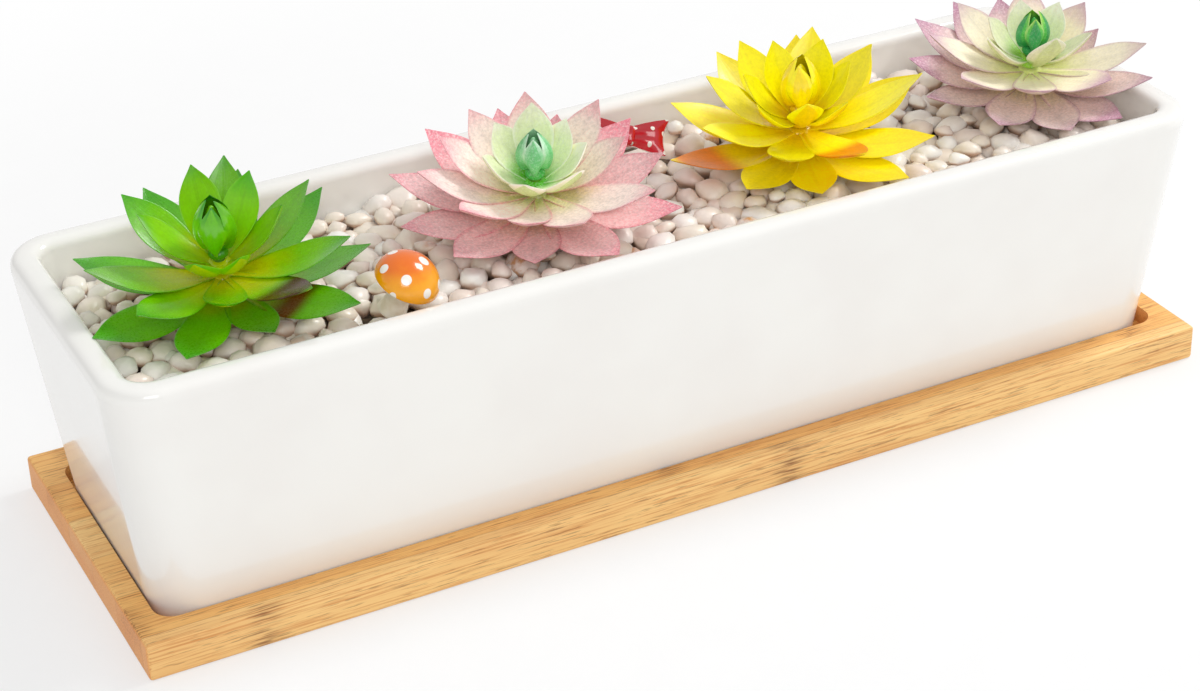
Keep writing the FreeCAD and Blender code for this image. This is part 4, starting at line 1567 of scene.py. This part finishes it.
@dataclass
class Studio:
    """Floor, lamps, background and camera."""

    floor_half: float = 3.0
    speck_size: float = 1 / 60
    white_from: float = 0.20
    white_to: float = 0.40
    floor_share: float = 0.55
    ambient: float = 0.66
    lamps: Tuple[Lamp, ...] = (Lamp("key_lamp", (1.0, 0.05, 1.1), 10.0, 0.42),
                               Lamp("front_lamp", (-0.45, -1.15, 0.85), 4.4, 0.6))
    lamp_aim: Tuple[float, float, float] = (0, 0, 0.05)
    azimuth: float = -25.99
    elevation: float = 29.79
    roll: float = -2.08
    lens: float = 80.455
    distance: float = 768.53 * MM
    target: Tuple[float, float, float] = (12.33 * MM, 40.63 * MM, 0.0)

    def seen_directly(self, graph: Graph) -> Wire:
        """1 for rays from the camera, and for those that it sees in gloss or glass."""
        rays = [graph.node("ShaderNodeLightPath", output=name)
                for name in ("Is Camera Ray", "Is Glossy Ray", "Is Transmission Ray")]
        return (rays[0] + rays[1] + rays[2]).ramp(0.0, 1.0)

    def floor(self) -> None:
        """Pale floor that keeps the shadow near the object and is white farther out."""
        graph = Graph("studio_floor")
        x, y, _ = graph.axes(graph.place())
        out = (x * x + y * y) ** 0.5
        far = out.ramp(self.white_from, self.white_to)
        share = self.seen_directly(graph) * (self.floor_share + (1 - self.floor_share) * far)
        glow = graph.node("ShaderNodeEmission", None, {"Color": (1, 1, 1), "Strength": 1.0})
        lit = Wire(graph, graph.shader.outputs[0])
        speck = graph.grain(self.speck_size)
        graph.dress(Base_Color=graph.mix(speck, (0.86, 0.86, 0.86), (0.90, 0.90, 0.90)),
                    Roughness=0.9)
        mixed = graph.node("ShaderNodeMixShader", None, {0: share, 1: lit, 2: glow})
        graph.feed(graph.output.inputs["Surface"], mixed)
        shape = bmesh.new()
        bmesh.ops.create_grid(shape, x_segments=2, y_segments=2, size=self.floor_half)
        piece = to_object("studio_floor", shape, graph.material)

    def background(self) -> None:
        """White behind the object, and an even light on it."""
        world = bpy.data.worlds.new("studio_world")
        bpy.context.scene.world = world
        world.use_nodes = True
        nodes, links = world.node_tree.nodes, world.node_tree.links
        nodes.clear()
        output = nodes.new("ShaderNodeOutputWorld")
        mix = nodes.new("ShaderNodeMixShader")
        path = nodes.new("ShaderNodeLightPath")
        for slot, strength in ((1, self.ambient), (2, 1.0)):
            light = nodes.new("ShaderNodeBackground")
            light.inputs["Color"].default_value = (1, 1, 1, 1)
            light.inputs["Strength"].default_value = strength
            links.new(light.outputs[0], mix.inputs[slot])
        links.new(path.outputs["Is Camera Ray"], mix.inputs[0])
        links.new(mix.outputs[0], output.inputs["Surface"])

    def camera(self) -> None:
        """Set the camera up where the photograph was taken from."""
        lens = bpy.data.cameras.new("photo_view")
        lens.sensor_fit, lens.sensor_width, lens.lens = "HORIZONTAL", 36.0, self.lens
        turn, rise, roll = (math.radians(angle)
                            for angle in (self.azimuth, self.elevation, self.roll))
        back = Vector((math.sin(turn) * math.cos(rise), -math.cos(turn) * math.cos(rise),
                       math.sin(rise)))
        right = UP.cross(back).normalized()
        above = back.cross(right)
        level = right * math.cos(roll) + above * math.sin(roll)
        upright = above * math.cos(roll) - right * math.sin(roll)
        place = Matrix((level, upright, back)).transposed().to_4x4()
        place.translation = Vector(self.target) + back * self.distance
        camera = bpy.data.objects.new("photo_view", lens)
        camera.matrix_world = place
        bpy.context.scene.collection.objects.link(camera)
        bpy.context.scene.camera = camera

    def build(self) -> None:
        """Set the whole studio up."""
        bpy.context.scene.view_settings.view_transform = "Standard"
        self.floor()
        self.background()
        for lamp in self.lamps:
            lamp.hang(Vector(self.lamp_aim))
        self.camera()


BUD_LEAVES: Tuple[LeafPlace, ...] = (
    (64, 72, 1.0), (154, 73, 0.96), (244, 68, 0.92), (334, 73, 1.0))

# Turn and rise of each leaf in degrees, and its length as a share of the longest leaf's.
SUCCULENTS = (
    Succulent(Plant.GREEN, MOUTH_HALF - 0.4 * MM, 13.6 * MM, 1.0, {
        Tier.LOWER: (
            (20, 16, 0.92), (58, 22, 0.84), (104, 20, 0.88), (150, 12, 0.95), (197, 12, 1.02),
            (236, 12, 0.93), (275, 10, 0.72), (308, 11, 1.03), (340, 14, 0.98)),
        Tier.MIDDLE: (
            (5, 36, 0.81), (62, 38, 0.77), (128, 36, 0.79), (183, 27, 0.96), (216, 22, 0.92),
            (255, 24, 0.66), (293, 22, 0.9), (329, 23, 0.92)),
        Tier.INNER: (
            (90, 57, 0.64), (30, 54, 0.61), (160, 48, 0.64), (234, 42, 0.53), (273, 42, 0.48),
            (340, 46, 0.59)),
        Tier.BUD: BUD_LEAVES,
    }, {Tier.LOWER: (7,), Tier.MIDDLE: (6,)}),
    Succulent(Plant.ROSE, MOUTH_HALF - 2.0 * MM, 15.0 * MM, 0.76, {
        Tier.LOWER: (
            (18, 16, 0.94), (52, 20, 0.74), (84, 18, 0.85), (122, 21, 0.95), (151, 15, 1.04),
            (180, 12, 1.04), (208, 12, 0.96), (243, 10, 0.8), (279, 11, 0.98), (320, 8, 1.04),
            (347, 18, 0.94)),
        Tier.MIDDLE: (
            (20, 36, 0.78), (68, 36, 0.74), (112, 38, 0.74), (146, 37, 0.79), (170, 28, 0.92),
            (203, 26, 0.84), (236, 23, 0.7), (269, 22, 0.83), (307, 21, 0.98), (342, 35, 0.74)),
        Tier.INNER: (
            (65, 60, 0.55), (118, 54, 0.5), (172, 46, 0.48), (232, 40, 0.46), (288, 40, 0.56),
            (335, 46, 0.48), (18, 52, 0.48)),
        Tier.BUD: BUD_LEAVES,
    }),
    Succulent(Plant.YELLOW, MOUTH_HALF - 1.4 * MM, 14.4 * MM, 1.0, {
        Tier.LOWER: (
            (25, 21, 0.93), (62, 20, 0.9), (100, 19, 0.92), (148, 19, 0.95), (179, 11, 1.04),
            (215, 11, 0.86), (252, 10, 0.8), (290, 9, 0.98), (318, 12, 0.98), (354, 19, 0.95)),
        Tier.MIDDLE: (
            (5, 40, 0.78), (52, 40, 0.75), (106, 40, 0.75), (150, 36, 0.79), (186, 25, 0.9),
            (232, 23, 0.8), (274, 22, 0.87), (334, 29, 0.96)),
        Tier.INNER: (
            (30, 59, 0.58), (96, 59, 0.58), (160, 50, 0.58), (198, 40, 0.53), (250, 52, 0.5),
            (290, 42, 0.53), (345, 54, 0.56)),
        Tier.BUD: BUD_LEAVES,
    }, {Tier.LOWER: (4,), Tier.MIDDLE: (6,)}),
    Succulent(Plant.LILAC, MOUTH_HALF - 1.9 * MM, 15.2 * MM, 0.72, {
        Tier.LOWER: (
            (0, 24, 0.64), (36, 20, 0.7), (72, 14, 0.82), (102, 19, 0.86), (128, 18, 0.96),
            (153, 14, 0.92), (178, 10, 0.9), (220, 12, 0.84), (258, 10, 0.84), (285, 9, 0.9),
            (307, 19, 0.98)),
        Tier.MIDDLE: (
            (12, 36, 0.64), (60, 31, 0.7), (118, 32, 0.72), (158, 28, 0.86), (196, 23, 0.82),
            (240, 24, 0.66), (284, 23, 0.8), (318, 25, 0.9)),
        Tier.INNER: (
            (20, 52, 0.46), (75, 51, 0.44), (140, 49, 0.46), (180, 42, 0.5), (262, 54, 0.54),
            (308, 42, 0.55)),
        Tier.BUD: BUD_LEAVES,
    }),
)


def main() -> None:
    """Build the studio and every sub-assembly, and log each piece's face count before rounding."""
    logging.basicConfig(level=logging.INFO, format="%(name)s: %(message)s")
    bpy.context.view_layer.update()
    Studio().build()
    Filling().dress()
    for maker in (Tray(), Trough(), Gravel(), *SUCCULENTS, Mushroom(), Bow()):
        for piece in maker.build():
            LOG.info("%s has %d faces before rounding", piece.name, len(piece.data.polygons))


if __name__ == "__main__":
    main()
